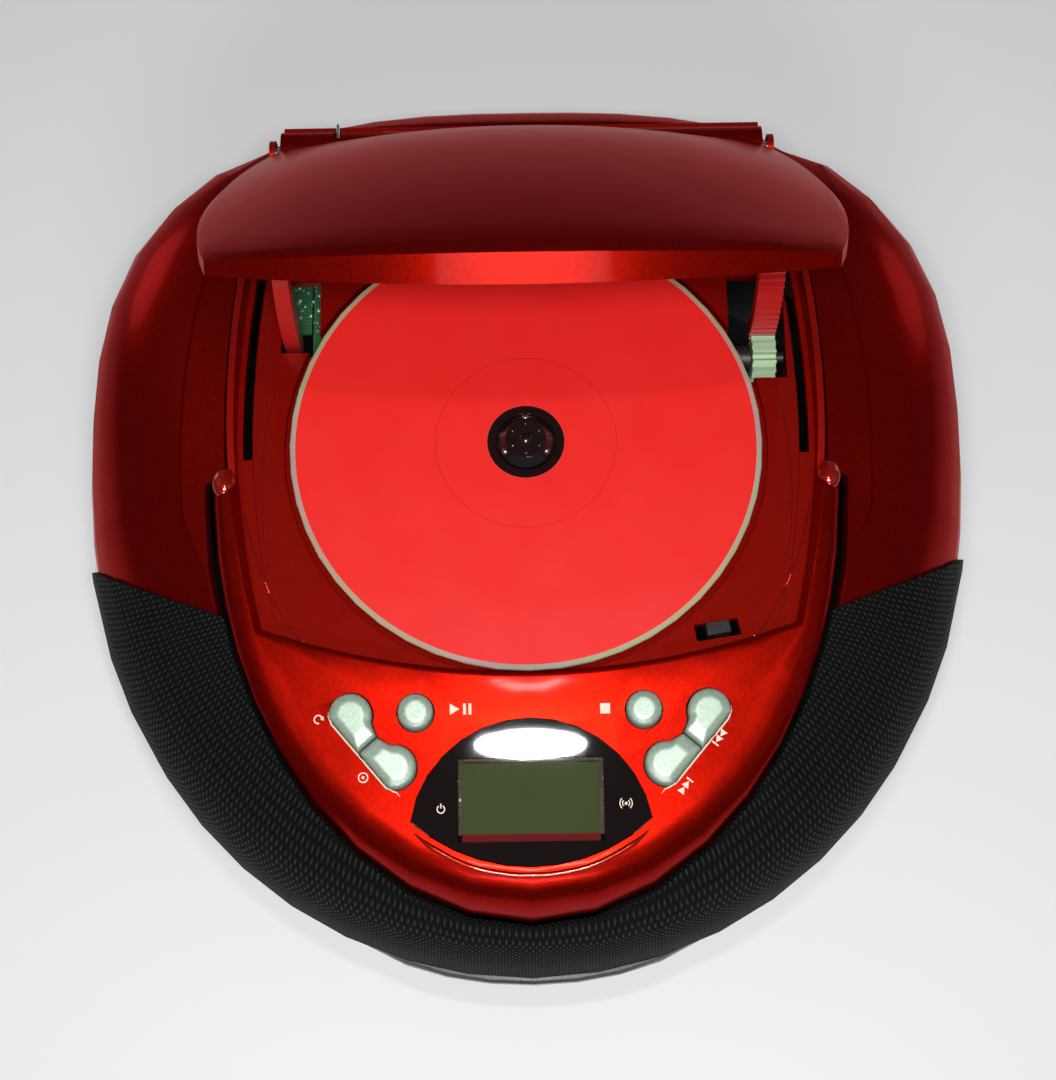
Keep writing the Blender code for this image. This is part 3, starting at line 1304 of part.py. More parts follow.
def make_deck(base):
    """The deck with its rim, well, holes, slots and the trough of the hinge."""
    corners = lid_corner_angles()
    bottom = DECK_RIM_TOP - DECK_THICKNESS
    outline = outline_of(in_lid, AROUND, 0.0, corners, grow=DECK_OVERLAP, rear=DECK_REAR)
    deck = slab("cd_deck", outline, bottom, DECK_RIM_TOP, "red_inner", base)
    inside = (bottom + DECK_FLOOR_TOP) / 2
    cup = rod("deck_cup", WELL_RADIUS + WELL_WALL, (0, 0, WELL_BOTTOM), (0, 0, inside), None, base, AROUND)
    join(deck, cup)
    reach = BARREL_RADIUS + TROUGH_CLEARANCE
    ear_inner = LID_REAR_HALF_WIDTH + EAR_GAP
    ear_outer = ear_inner + EAR_THICKNESS
    rear = DECK_REAR - DECK_CURB_INSET
    wide, narrow = ear_inner + TROUGH_END_WALL, LID_REAR_HALF_WIDTH
    near, far = HINGE_BACK - reach - TROUGH_WALL, rear - DECK_CURB_INSET
    plan = [(-wide, near), (wide, near), (wide, HINGE_BACK), (narrow, far), (-narrow, far),
            (-wide, HINGE_BACK)]
    trough = slab("trough_block", plan, HINGE_HEIGHT - reach - TROUGH_WALL, inside, None, base)
    join(deck, trough)
    wall_end = LID_REAR_HALF_WIDTH - TROUGH_END_WALL
    wall = box("trough_wall", (-wall_end, rear - TROUGH_WALL, inside), (wall_end, rear, HINGE_HEIGHT),
               None, base)
    join(deck, wall)
    steps = 12
    ear_line = [(-EAR_RADIUS, inside - HINGE_HEIGHT), (EAR_RADIUS, inside - HINGE_HEIGHT)]
    for n in range(steps + 1):
        turn = pi * n / steps
        ear_line.append((EAR_RADIUS * cos(turn), EAR_RADIUS * sin(turn)))
    for side in (1, -1):
        low, high = sorted((side * ear_inner, side * ear_outer))
        join(deck, slab("ear", ear_line, low, high, None, base, HINGE, SIDEWAYS))
    cut(deck, rod("trough", reach, (-ear_inner + TOUCH, HINGE_BACK, HINGE_HEIGHT),
                  (ear_inner - TOUCH, HINGE_BACK, HINGE_HEIGHT), None, base, SPEAKER_SEGMENTS))
    cut(deck, rod("pin_holes", PIN_RADIUS + TOUCH, (-ear_outer - OVERRUN, HINGE_BACK, HINGE_HEIGHT),
                  (ear_outer + OVERRUN, HINGE_BACK, HINGE_HEIGHT), None, base))
    above = DISC_TOP + OVERRUN * 3
    front_of_trough = HINGE_BACK - reach - TROUGH_WALL
    recess = outline_of(in_lid, AROUND, 0.0, corners, grow=-DECK_LEDGE, rear=front_of_trough)
    cut(deck, slab("deck_recess", recess, DECK_FLOOR_TOP, above, None, base))
    cut(deck, rod("well", WELL_RADIUS, (0, 0, WELL_TOP), (0, 0, above), None, base, AROUND))
    cut(deck,
        rod("spindle_hole", SPINDLE_HOLE_RADIUS, (0, 0, WELL_BOTTOM - OVERRUN), (0, 0, above), None, base))
    below = WELL_BOTTOM - OVERRUN * 3
    cut(deck, box("laser_window", (-LASER_WINDOW_HALF_WIDTH, -LASER_WINDOW_FAR, below),
                  (LASER_WINDOW_HALF_WIDTH, -LASER_WINDOW_NEAR, above), None, base))
    cut(deck, box("arm_hole_left", (-ARM_HOLE_LEFT_OUTER, ARM_HOLE_LEFT_FRONT, below),
                  (-ARM_HOLE_INNER, ARM_HOLE_REAR, above), None, base))
    cut(deck, box("arm_hole_right", (ARM_HOLE_INNER, ARM_HOLE_FRONT, below),
                  (ARM_HOLE_OUTER, ARM_HOLE_REAR, above), None, base))
    cut(deck, box("switch_slot", (-SWITCH_SLOT_LENGTH / 2, -SWITCH_SLOT_WIDTH / 2, below),
                  (SWITCH_SLOT_LENGTH / 2, SWITCH_SLOT_WIDTH / 2, above), None, base,
                  (SWITCH_SIDE, -SWITCH_FRONT, 0), (0, 0, SWITCH_TURN)))
    slot = [radians(-3.2) + n * radians(5.2) for n in range(9)]
    curb = [-asin(DECK_CURB_FRONT / (LID_HALF_WIDTH + DECK_OVERLAP)) + n * radians(4.8) for n in range(13)]
    for side in (1, -1):
        def turned_over(angles):
            return angles if side > 0 else [pi - angle for angle in angles]

        def lid_reach(grow):
            return lambda angle: reach_of(in_lid, angle, grow=grow)

        cut(deck, ring_beam("side_slot", turned_over(slot), lid_reach(-SIDE_SLOT_INSET - SIDE_SLOT_WIDTH),
                            lid_reach(-SIDE_SLOT_INSET), lambda angle: below, lambda angle: above, base))
        outer = lid_reach(DECK_OVERLAP - DECK_CURB_INSET)
        join(deck, ring_beam(
            "side_curb", turned_over(curb), lid_reach(DECK_CURB_GAP), outer, lambda angle: inside,
            lambda angle: max(dome_height(outer(angle), angle) + DECK_CURB_ABOVE_CASE,
                              DECK_RIM_TOP + DECK_CURB_ABOVE_CASE),
            base))
    board_top = DISC_TOP - MAIN_BOARD_BELOW_DISC
    for x, y in ((-MAIN_BOARD_INNER - POST_INSET, MAIN_BOARD_FRONT + POST_INSET),
                 (-MAIN_BOARD_INNER - POST_INSET, MAIN_BOARD_REAR - POST_INSET),
                 (-MAIN_BOARD_OUTER + POST_INSET, MAIN_BOARD_REAR - POST_INSET)):
        root = WELL_TOP - WELL_FLOOR / 2 if hypot(x, y) < WELL_RADIUS else inside
        join(deck, rod("board_post", POST_RADIUS, (x, y, board_top + TOUCH), (x, y, root), None, base, 12))
    inset = CHASSIS_HALF_WIDTH - POST_INSET
    for x in (-inset, inset):
        for y in (CHASSIS_REAR - POST_INSET, -CHASSIS_FRONT + POST_INSET * 4):
            join(deck, rod("chassis_post", CHASSIS_POST_RADIUS, (x, y, CHASSIS_TOP + TOUCH),
                           (x, y, WELL_TOP - WELL_FLOOR / 2), None, base, 12))
    bracket = box("damper_bracket", (ARM_HOLE_OUTER, GEAR_BACK - BRACKET_LENGTH / 2, bottom - BRACKET_DROP),
                  (ARM_HOLE_OUTER + BRACKET_THICKNESS, GEAR_BACK + BRACKET_LENGTH / 2, inside), None, base)
    join(deck, bracket)
    return deck


def make_disc(base):
    """The disc, and the hub that carries it on the spindle."""
    low = DISC_TOP - DISC_THICKNESS
    edge = DISC_THICKNESS * DISC_EDGE_SHARE
    rim, hole = DISC_RADIUS, DISC_HOLE_RADIUS
    profile = [
        (hole, DISC_TOP - edge), (hole + edge, DISC_TOP), (rim - edge, DISC_TOP), (rim, DISC_TOP - edge),
        (rim, low + edge), (rim - edge, low), (hole + edge, low), (hole, low + edge)]
    turned("disc", profile, "disc_red", base, steps=AROUND, closed=True)
    platter = low - TOUCH
    foot = platter - HUB_PLATTER_HEIGHT
    boss = DISC_TOP + HUB_BOSS_RISE
    profile = [
        (0, boss), (HUB_TOP_RADIUS, boss), (HUB_BOSS_RADIUS, DISC_TOP), (HUB_BOSS_RADIUS, platter),
        (HUB_PLATTER_RADIUS, platter), (HUB_PLATTER_RADIUS, foot), (SPINDLE_HOLE_RADIUS - TOUCH * 2, foot),
        (SHAFT_RADIUS, foot), (SHAFT_RADIUS, foot - SHAFT_LENGTH), (0, foot - SHAFT_LENGTH)]
    turned("disc_hub", profile, "black_plastic", base, steps=SPEAKER_SEGMENTS)


def make_mechanism(base):
    """The chassis with its motors, rods and the sled that carries the lens."""
    low = CHASSIS_TOP - CHASSIS_THICKNESS
    chassis = box("mechanism_chassis", (-CHASSIS_HALF_WIDTH, -CHASSIS_FRONT, low),
                  (CHASSIS_HALF_WIDTH, CHASSIS_REAR, CHASSIS_TOP), "dark_steel", base)
    cut(chassis, box("chassis_window", (-CHASSIS_WINDOW_HALF_WIDTH, -CHASSIS_WINDOW_FAR, low - OVERRUN),
                     (CHASSIS_WINDOW_HALF_WIDTH, -CHASSIS_WINDOW_NEAR, CHASSIS_TOP + OVERRUN), None, base))
    cut(chassis,
        rod("shaft_hole", SPINDLE_HOLE_RADIUS, (0, 0, low - OVERRUN), (0, 0, CHASSIS_TOP + OVERRUN), None,
            base))
    ends = (-CHASSIS_WINDOW_FAR - LUG_LENGTH, -CHASSIS_WINDOW_FAR), (-CHASSIS_WINDOW_NEAR,
                                                                     -CHASSIS_WINDOW_NEAR + LUG_LENGTH)
    for side in (-1, 1):
        for near, far in ends:
            lug = box("lug", (side * ROD_SIDE - LUG_WIDTH / 2, near, ROD_HEIGHT - LUG_WIDTH / 2),
                      (side * ROD_SIDE + LUG_WIDTH / 2, far,
                       CHASSIS_TOP - CHASSIS_THICKNESS / 2), None, base)
            join(chassis, lug)
        start = -CHASSIS_WINDOW_FAR - LUG_LENGTH
        end = -CHASSIS_WINDOW_NEAR + LUG_LENGTH
        cut(chassis, rod("rod_bore", ROD_RADIUS + TOUCH, (side * ROD_SIDE, start - OVERRUN, ROD_HEIGHT),
                         (side * ROD_SIDE, end + OVERRUN, ROD_HEIGHT), None, base))
        name = "guide_rod_right" if side > 0 else "guide_rod_left"
        rod(name, ROD_RADIUS, (side * ROD_SIDE, start, ROD_HEIGHT), (side * ROD_SIDE, end, ROD_HEIGHT),
            "steel", base)
    motor = rod("spindle_motor", MOTOR_RADIUS, (0, 0, MOTOR_TOP - MOTOR_HEIGHT), (0, 0, MOTOR_TOP),
                "steel", base, SPEAKER_SEGMENTS)
    shaft_end = DISC_TOP - DISC_THICKNESS - TOUCH - HUB_PLATTER_HEIGHT - SHAFT_LENGTH
    cut(motor,
        rod("motor_bore", SHAFT_RADIUS + RUN, (0, 0, shaft_end - TOUCH), (0, 0, MOTOR_TOP + OVERRUN),
            None, base))
    height = low - TOUCH - SLED_MOTOR_RADIUS
    rod("sled_motor", SLED_MOTOR_RADIUS, (-SLED_MOTOR_SIDE, SLED_MOTOR_BACK, height),
        (-SLED_MOTOR_SIDE + SLED_MOTOR_LENGTH, SLED_MOTOR_BACK, height), "steel", base)

    frame = empty("sled_frame", (0, -SLED_START, ROD_HEIGHT), base)
    half = SLED_LENGTH / 2
    sled = box("laser_sled", (-SLED_HALF_WIDTH, -half, -SLED_HEIGHT / 2),
               (SLED_HALF_WIDTH, half, SLED_HEIGHT / 2),
               "black_plastic", frame)
    tower = DISC_TOP - LENS_HOUSING_BELOW_DISC - ROD_HEIGHT
    join(sled, rod("lens_tower", LENS_HOUSING_RADIUS, (0, 0, 0), (0, 0, tower), None, frame))
    for side in (-1, 1):
        cut(sled, rod("sled_bore", ROD_RADIUS + RUN, (side * ROD_SIDE, -half - OVERRUN, 0),
                      (side * ROD_SIDE, half + OVERRUN, 0), None, frame))
    profile = [
        (OBJECTIVE_RADIUS * reach, OBJECTIVE_RISE * rise) for reach, rise in OBJECTIVE_SHARES]
    turned("laser_lens", profile, "lens_blue", frame, (0, 0, tower + TOUCH))
    return chassis


def make_speakers(base):
    """Two speakers behind the grille: frame, cone and magnet on one axis each."""
    for side, name in ((-1, "left"), (1, "right")):
        frame = speaker_frame(side, base)
        rim, mouth, neck = SPEAKER_RADIUS, SPEAKER_MOUTH_RADIUS, SPEAKER_NECK_RADIUS
        sheet, depth = SPEAKER_SHEET, SPEAKER_DEPTH
        profile = [
            (mouth, 0), (rim, 0), (rim, -SPEAKER_FLANGE), (mouth + sheet, -SPEAKER_FLANGE), (neck + sheet,
                                                                                             -depth),
            (neck / 2, -depth), (neck / 2, -depth + sheet), (neck, -depth + sheet), (mouth,
                                                                                     -SPEAKER_FLANGE)]
        turned("speaker_frame_" + name, profile, "dark_steel", frame, steps=SPEAKER_SEGMENTS, closed=True)
        cap = CONE_CAP_SINK
        profile = [
            (0, CONE_CAP_RISE - cap), (CONE_CAP_RADIUS * CONE_CAP_SHARES[0],
                                       CONE_CAP_RISE * CONE_CAP_SHARES[1] - cap),
            (CONE_CAP_RADIUS, -cap), (mouth - TOUCH, -CONE_RIM_SINK), (mouth - TOUCH,
                                                                       -CONE_RIM_SINK - sheet),
            (CONE_CAP_RADIUS, -cap - sheet), (0, -cap - sheet)]
        turned("speaker_cone_" + name, profile, "paper_cone", frame, steps=SPEAKER_SEGMENTS)
        top = -depth - TOUCH
        profile = [(0, top), (MAGNET_RADIUS, top), (MAGNET_RADIUS, top - MAGNET_DEPTH),
                   (0, top - MAGNET_DEPTH)]
        turned("speaker_magnet_" + name, profile, "dark_steel", frame, steps=SPEAKER_SEGMENTS)


def make_power(base, bottom):
    """The transformer, the battery box with its door, and the feet."""
    floor = FOOT_HEIGHT + BOTTOM_WALL + TOUCH
    half = TRANSFORMER_WIDTH / 2
    far = -TRANSFORMER_FRONT + TRANSFORMER_LENGTH
    core = box("transformer", (-half, -TRANSFORMER_FRONT, floor), (half, far, floor + TRANSFORMER_HEIGHT),
               "dark_steel", base)
    coil = TRANSFORMER_WIDTH * COIL_WIDTH_SHARE
    overhang = TRANSFORMER_LENGTH * COIL_OVERHANG_SHARE
    join(core,
         box("winding",
             (-coil, -TRANSFORMER_FRONT - overhang, floor + TRANSFORMER_HEIGHT * COIL_BOTTOM_SHARE),
                   (coil, far + overhang, floor + TRANSFORMER_HEIGHT * COIL_TOP_SHARE), None, base))
    wall = BATTERY_WALL
    tray = box("battery_box", (-BATTERY_HALF_WIDTH - wall, BATTERY_NEAR - wall, floor),
               (BATTERY_HALF_WIDTH + wall, BATTERY_FAR + wall,
                floor + BATTERY_HEIGHT), "black_plastic", base)
    cut(tray, box("battery_bay", (-BATTERY_HALF_WIDTH, BATTERY_NEAR, 0),
                  (BATTERY_HALF_WIDTH, BATTERY_FAR, floor + BATTERY_HEIGHT - wall), None, base))
    axis = empty("battery_door_axis",
                 (0, BATTERY_NEAR + DOOR_AXIS_INSET, FOOT_HEIGHT + DOOR_THICKNESS / 2), base)
    box("battery_door", (-BATTERY_HALF_WIDTH + DOOR_GAP, -DOOR_NOSE, -DOOR_THICKNESS / 2),
        (BATTERY_HALF_WIDTH - DOOR_GAP, BATTERY_FAR - BATTERY_NEAR - DOOR_AXIS_INSET - DOOR_GAP,
         DOOR_THICKNESS / 2),
        "black_case", axis)
    side = BODY_HALF_WIDTH * FOOT_SIDE_SHARE
    feet = (("foot_front_left", -side, -BODY_FRONT * FOOT_FRONT_SHARE),
            ("foot_front_right", side, -BODY_FRONT * FOOT_FRONT_SHARE),
            ("foot_rear_left", -side, BODY_REAR * FOOT_REAR_SHARE), ("foot_rear_right", side,
                                                                     BODY_REAR * FOOT_REAR_SHARE))
    for name, x, y in feet:
        rod(name, FOOT_RADIUS, (x, y, 0), (x, y, FOOT_HEIGHT - TOUCH), "rubber", base)


def make_wheels(base, bottom):
    """The volume and tuning wheels, each on a post, half out of a slot."""
    for name, angle in (("volume_knob", VOLUME_ANGLE), ("tuning_knob", TUNING_ANGLE)):
        frame = side_frame(name + "_wall", angle, WHEEL_HEIGHT, base)
        bpy.context.view_layer.update()
        sunk = WHEEL_PROUD - WHEEL_RADIUS
        centre = spot_on_side(frame, 0, sunk, 0)
        outline = []
        for n in range(2 * WHEEL_RIDGES):
            reach = WHEEL_RADIUS - (WHEEL_RIDGE_DEPTH if n % 2 else 0)
            turn = pi * n / WHEEL_RIDGES
            outline.append((reach * cos(turn), reach * sin(turn)))
        wheel = slab(name, outline, -WHEEL_THICKNESS / 2, WHEEL_THICKNESS / 2, "wheel_silver", base, centre)
        cut(wheel,
            rod("wheel_bore", WHEEL_BORE_RADIUS, centre - UP * WHEEL_THICKNESS,
                centre + UP * WHEEL_THICKNESS, None, base))
        tall = WHEEL_THICKNESS / 2 + WHEEL_SLOT_GAP
        chord = sqrt(WHEEL_RADIUS ** 2 - (WHEEL_RADIUS - WHEEL_PROUD - BOTTOM_WALL - WHEEL_SLOT_GAP) ** 2)
        cut(bottom,
            box("wheel_slot", (-chord - WHEEL_SLOT_GAP, sunk, -tall),
                (chord + WHEEL_SLOT_GAP, OVERRUN, tall), None, frame))
        foot = Vector((centre.x, centre.y, WHEEL_POST_FOOT))
        post = WHEEL_BORE_RADIUS - RUN
        join(bottom, rod("wheel_post", post, foot, centre + UP * WHEEL_THICKNESS, None, base))
        shoulder = centre - UP * (WHEEL_THICKNESS / 2 + WHEEL_SLOT_GAP)
        join(bottom, rod("post_shoulder", post + WHEEL_SHOULDER, foot, shoulder, None, base))


def make_sliders(base, bottom):
    """The function and band switches: knobs in slots with a flange behind the wall."""
    for name, angle in (("function_switch", FUNCTION_ANGLE), ("band_switch", BAND_ANGLE)):
        frame = side_frame(name + "_wall", angle, SLIDER_HEIGHT, base)
        length, width = SLIDER_KNOB_LENGTH / 2, SLIDER_KNOB_WIDTH / 2
        back = -BOTTOM_WALL - SLIDER_FLANGE_GAP
        knob = box(name, (-length, back - SLIDER_FLANGE_DEPTH, -width),
                   (length, SLIDER_KNOB_PROUD, width), "wheel_silver", frame)
        join(knob,
             box("slider_flange",
                 (-SLIDER_FLANGE_LENGTH / 2, back - SLIDER_FLANGE_DEPTH, -SLIDER_FLANGE_WIDTH / 2),
                       (SLIDER_FLANGE_LENGTH / 2, back, SLIDER_FLANGE_WIDTH / 2), None, frame))
        cut(bottom, box("slider_slot", (-SLIDER_SLOT_LENGTH / 2, back, -SLIDER_SLOT_WIDTH / 2),
                        (SLIDER_SLOT_LENGTH / 2, OVERRUN, SLIDER_SLOT_WIDTH / 2), None, frame))


def make_sockets(base, bottom):
    """The mains inlet, the usb port and the card slot in the bottom's wall."""
    sockets = (
        ("ac_inlet", INLET_ANGLE, INLET_CENTRE_HEIGHT, INLET_WIDTH, INLET_HEIGHT, INLET_DEPTH,
         "black_plastic"),
        ("usb_port", USB_ANGLE, USB_CENTRE_HEIGHT, USB_WIDTH, USB_HEIGHT, USB_DEPTH, "steel"),
        ("card_slot", CARD_ANGLE, CARD_CENTRE_HEIGHT, CARD_WIDTH, CARD_HEIGHT, CARD_DEPTH, "dark_steel"))
    for name, angle, height, width, tall, depth, material in sockets:
        frame = side_frame(name + "_wall", angle, height, base)
        x, z, wall = width / 2, tall / 2, SOCKET_WALL
        shell = box(name, (-x, -depth, -z), (x, SOCKET_PROUD, z), material, frame)
        cut(shell,
            box("socket_bay", (-x + wall, -depth + wall, -z + wall), (x - wall, OVERRUN, z - wall), None,
                frame))
        if name == "ac_inlet":
            for side in (-1, 1):
                join(shell, rod("prong", PRONG_RADIUS, (side * PRONG_SIDE, -depth + wall / 2, 0),
                                (side * PRONG_SIDE, -wall, 0), None, frame, 12))
        if name == "usb_port":
            join(shell,
                 box("tongue", (-x + wall + TONGUE_SIDE_GAP, -depth + wall / 2, -TONGUE_HALF_THICKNESS),
                            (x - wall - TONGUE_SIDE_GAP, -wall, TONGUE_HALF_THICKNESS), None, frame))
        gap = TOUCH
        cut(bottom,
            box("socket_hole", (-x - gap, -depth, -z - gap), (x + gap, OVERRUN, z + gap), None, frame))


def arc_point(radius, angle):
    """A place on a lid arm, counted from the hinge; angles run down from straight ahead."""
    return (-radius * cos(angle), -radius * sin(angle))


def make_lid(base):
    """The lid under its hinge, built closed and turned open."""
    hinge = empty("lid_hinge", HINGE, base, (-LID_OPEN_ANGLE, 0, 0))
    back = LID_CENTRE_BACK
    angles = angles_round(AROUND, lid_corner_angles(back))
    edges = [(angle, reach_of(in_lid, angle, back)) for angle in angles]
    rings = []
    for share in LID_RING_SHARES:
        rings.append([lid_point(edge * share, angle) for angle, edge in edges])
    rings.append([lid_point(edge, angle, LID_ROLL) for angle, edge in edges])
    rings.append([at(edge, angle, DISC_TOP + LID_EDGE_ABOVE_DISC, back) for angle, edge in edges])
    cover = loft("lid_cover", rings, "red_metallic", hinge, pole=lid_point(0, 0), shift=HINGE)
    thicken(cover, LID_WALL)
    half = LID_REAR_HALF_WIDTH - BARREL_INSET
    join(cover, rod("barrel", BARREL_RADIUS, (-half, 0, 0), (half, 0, 0), None, hinge, SPEAKER_SEGMENTS))
    bore = PIN_RADIUS + RUN
    cut(cover,
        rod("left_bore", bore, (-half - OVERRUN, 0, 0), (-SPRING_PIN_INNER_END + BORE_END_GAP, 0, 0),
            None, hinge))
    cut(cover,
        rod("right_bore", bore, (SPRING_BAY_OUTER - BORE_END_GAP, 0, 0), (half + OVERRUN, 0, 0), None,
            hinge))
    cut(cover,
        rod("spring_bay", SPRING_BAY_RADIUS, (-SPRING_BAY_OUTER, 0, 0), (-SPRING_BAY_INNER, 0, 0), None,
            hinge, SPEAKER_SEGMENTS))
    cut(cover,
        box("spring_window",
            (-SPRING_BAY_OUTER + BORE_END_GAP, -SPRING_WIRE_RADIUS * 2, -SPRING_WIRE_RADIUS * 2),
                   (-SPRING_BAY_INNER - BORE_END_GAP, BARREL_RADIUS + OVERRUN,
                    BARREL_RADIUS + OVERRUN), None, hinge))
    leg = -SPRING_BAY_OUTER + SPRING_WIRE_RADIUS * 3
    cut(cover, box("leg_slot", (leg - SPRING_WIRE_RADIUS * 2, -SPRING_RADIUS - SPRING_WIRE_RADIUS, 0),
                   (leg + SPRING_WIRE_RADIUS * 2, BARREL_RADIUS + OVERRUN,
                    BARREL_RADIUS + OVERRUN * 2), None, hinge))
    arm_place = HINGE_BACK - ARM_PITCH_RADIUS
    for x in (-ARM_CENTRE, RACK_CENTRE):
        head = lid_height(x, arm_place) - LID_WALL / 2
        join(cover, rod("arm_boss", PIN_RADIUS, lid_spot(x, arm_place, HINGE_HEIGHT + BOSS_FOOT),
                        lid_spot(x, arm_place, head), None, hinge, 12))

    inset = -LID_WALL - LINER_GAP
    rows = []
    drop = (LID_WALL + LINER_GAP) * LINER_DROP_SHARE
    for share in LID_RING_SHARES[:-1]:
        rows.append([lid_point(edge * share, angle, drop) for angle, edge in edges])
    last = []
    for angle, edge in edges:
        reach = reach_of(in_lid, angle, back, grow=inset, rear=LINER_REAR)
        last.append(lid_point(reach, angle, drop))
    rows.append(last)
    liner = loft("lid_liner", rows, "red_inner", hinge, pole=lid_point(0, 0, drop), shift=HINGE)
    thicken(liner, LINER_WALL)
    for x, width in ((-ARM_CENTRE, ARM_WIDTH), (RACK_CENTRE, RACK_WIDTH)):
        gap = width / 2 + BORE_END_GAP
        cut(liner, box("arm_notch", lid_spot(x - gap, arm_place - ARM_DEPTH, HINGE_HEIGHT - OVERRUN),
                       lid_spot(x + gap, arm_place + ARM_DEPTH * 2,
                                HINGE_HEIGHT + OVERRUN * 3), None, hinge))

    start, end = -ARM_ABOVE_ANGLE, LID_OPEN_ANGLE + ARM_BELOW_ANGLE
    steps = 24
    turns = [lerp(start, end, n / steps) for n in range(steps + 1)]
    outer, inner = ARM_PITCH_RADIUS + ARM_DEPTH / 2, ARM_PITCH_RADIUS - ARM_DEPTH / 2
    outline = [arc_point(outer, turn) for turn in turns] + [arc_point(inner,
                                                                      turn) for turn in reversed(turns)]
    slab("lid_arm_left", outline, -ARM_CENTRE - ARM_WIDTH / 2, -ARM_CENTRE + ARM_WIDTH / 2, "arm_red",
         hinge, (0, 0, 0), SIDEWAYS)
    pitch = pi * TOOTH_MODULE
    tip = ARM_PITCH_RADIUS + TOOTH_HEIGHT_SHARE * TOOTH_MODULE
    root = ARM_PITCH_RADIUS - TOOTH_DEPTH_SHARE * TOOTH_MODULE
    spacing = pitch / ARM_PITCH_RADIUS
    first = LID_OPEN_ANGLE + GEAR_LINE_ANGLE
    outline = [arc_point(root, start)]
    number = -int((first - start) / spacing)
    while first + number * spacing + spacing / 2 < end:
        middle = first + number * spacing
        if middle - spacing / 2 > start:
            wide = TOOTH_ROOT_SHARE * spacing
            thin = TOOTH_TIP_SHARE * spacing
            outline += [arc_point(root, middle - wide), arc_point(tip, middle - thin),
                        arc_point(tip, middle + thin), arc_point(root, middle + wide)]
        number += 1
    outline.append(arc_point(root, end))
    back_line = ARM_PITCH_RADIUS - ARM_DEPTH
    outline += [arc_point(back_line, turn) for turn in reversed(turns)]
    slab("lid_arm_right", outline, RACK_CENTRE - RACK_WIDTH / 2, RACK_CENTRE + RACK_WIDTH / 2, "arm_red",
         hinge, (0, 0, 0), SIDEWAYS)
    make_spring(hinge)
    return hinge


def lid_spot(x, y, z):
    """A place of the closed lid, counted from the hinge."""
    return Vector((x, y, z)) - HINGE


def make_spring(hinge):
    """The torsion spring round the long pin, with one leg out over the trough's rear wall."""
    turns = SPRING_CURLS * SPRING_POINTS_A_CURL
    margin = SPRING_WIRE_RADIUS * 3
    start, end = -SPRING_BAY_OUTER + margin, -SPRING_BAY_INNER - margin
    top = pi / 2 + LID_OPEN_ANGLE
    wind = 2 * pi / SPRING_POINTS_A_CURL
    points = []
    for n in range(turns + 1):
        turn = top + n * wind
        points.append(Vector((lerp(start, end, n / turns), SPRING_RADIUS * cos(turn),
                              SPRING_RADIUS * sin(turn))))
    least = spring_gap(points)
    along = Vector((0, sin(top), -cos(top)))
    leg = [points[0] + along * SPRING_LEG * share for share in (1.0, 0.5)]
    tail_turn = top + turns * wind
    tail = Vector((0, -sin(tail_turn), cos(tail_turn)))
    points = leg + points + [points[-1] + tail * SPRING_WIRE_RADIUS * 2]
    curve = bpy.data.curves.new("lid_spring", "CURVE")
    curve.dimensions = "3D"
    curve.bevel_depth = SPRING_WIRE_RADIUS
    curve.bevel_resolution = 1
    curve.use_fill_caps = True
    line = curve.splines.new("POLY")
    line.points.add(len(points) - 1)
    for point, place in zip(line.points, points):
        point.co = (*place, 1)
    finish("lid_spring", welded("lid_spring", curve), "steel", hinge)
    print("lid_spring least gap between curls, in mm:", round(least / MM, 3))


def spring_gap(points):
    """The least open gap between two curls of the spring's wire."""
    gap = None
    for n, one in enumerate(points):
        for other in points[n + SPRING_POINTS_A_CURL // 2 + 1:]:
            space = (one - other).length - 2 * SPRING_WIRE_RADIUS
            gap = space if gap is None else min(gap, space)
    return gap


def make_hinge_pins(base):
    """The two pins in the ears, the left one long enough for the spring."""
    outer = LID_REAR_HALF_WIDTH + EAR_GAP + EAR_THICKNESS
    rod("hinge_pin_left", PIN_RADIUS, (-outer, HINGE_BACK, HINGE_HEIGHT),
        (-SPRING_PIN_INNER_END, HINGE_BACK, HINGE_HEIGHT), "steel", base)
    rod("hinge_pin_right", PIN_RADIUS, (SPRING_BAY_OUTER, HINGE_BACK, HINGE_HEIGHT),
        (outer, HINGE_BACK, HINGE_HEIGHT), "steel", base)


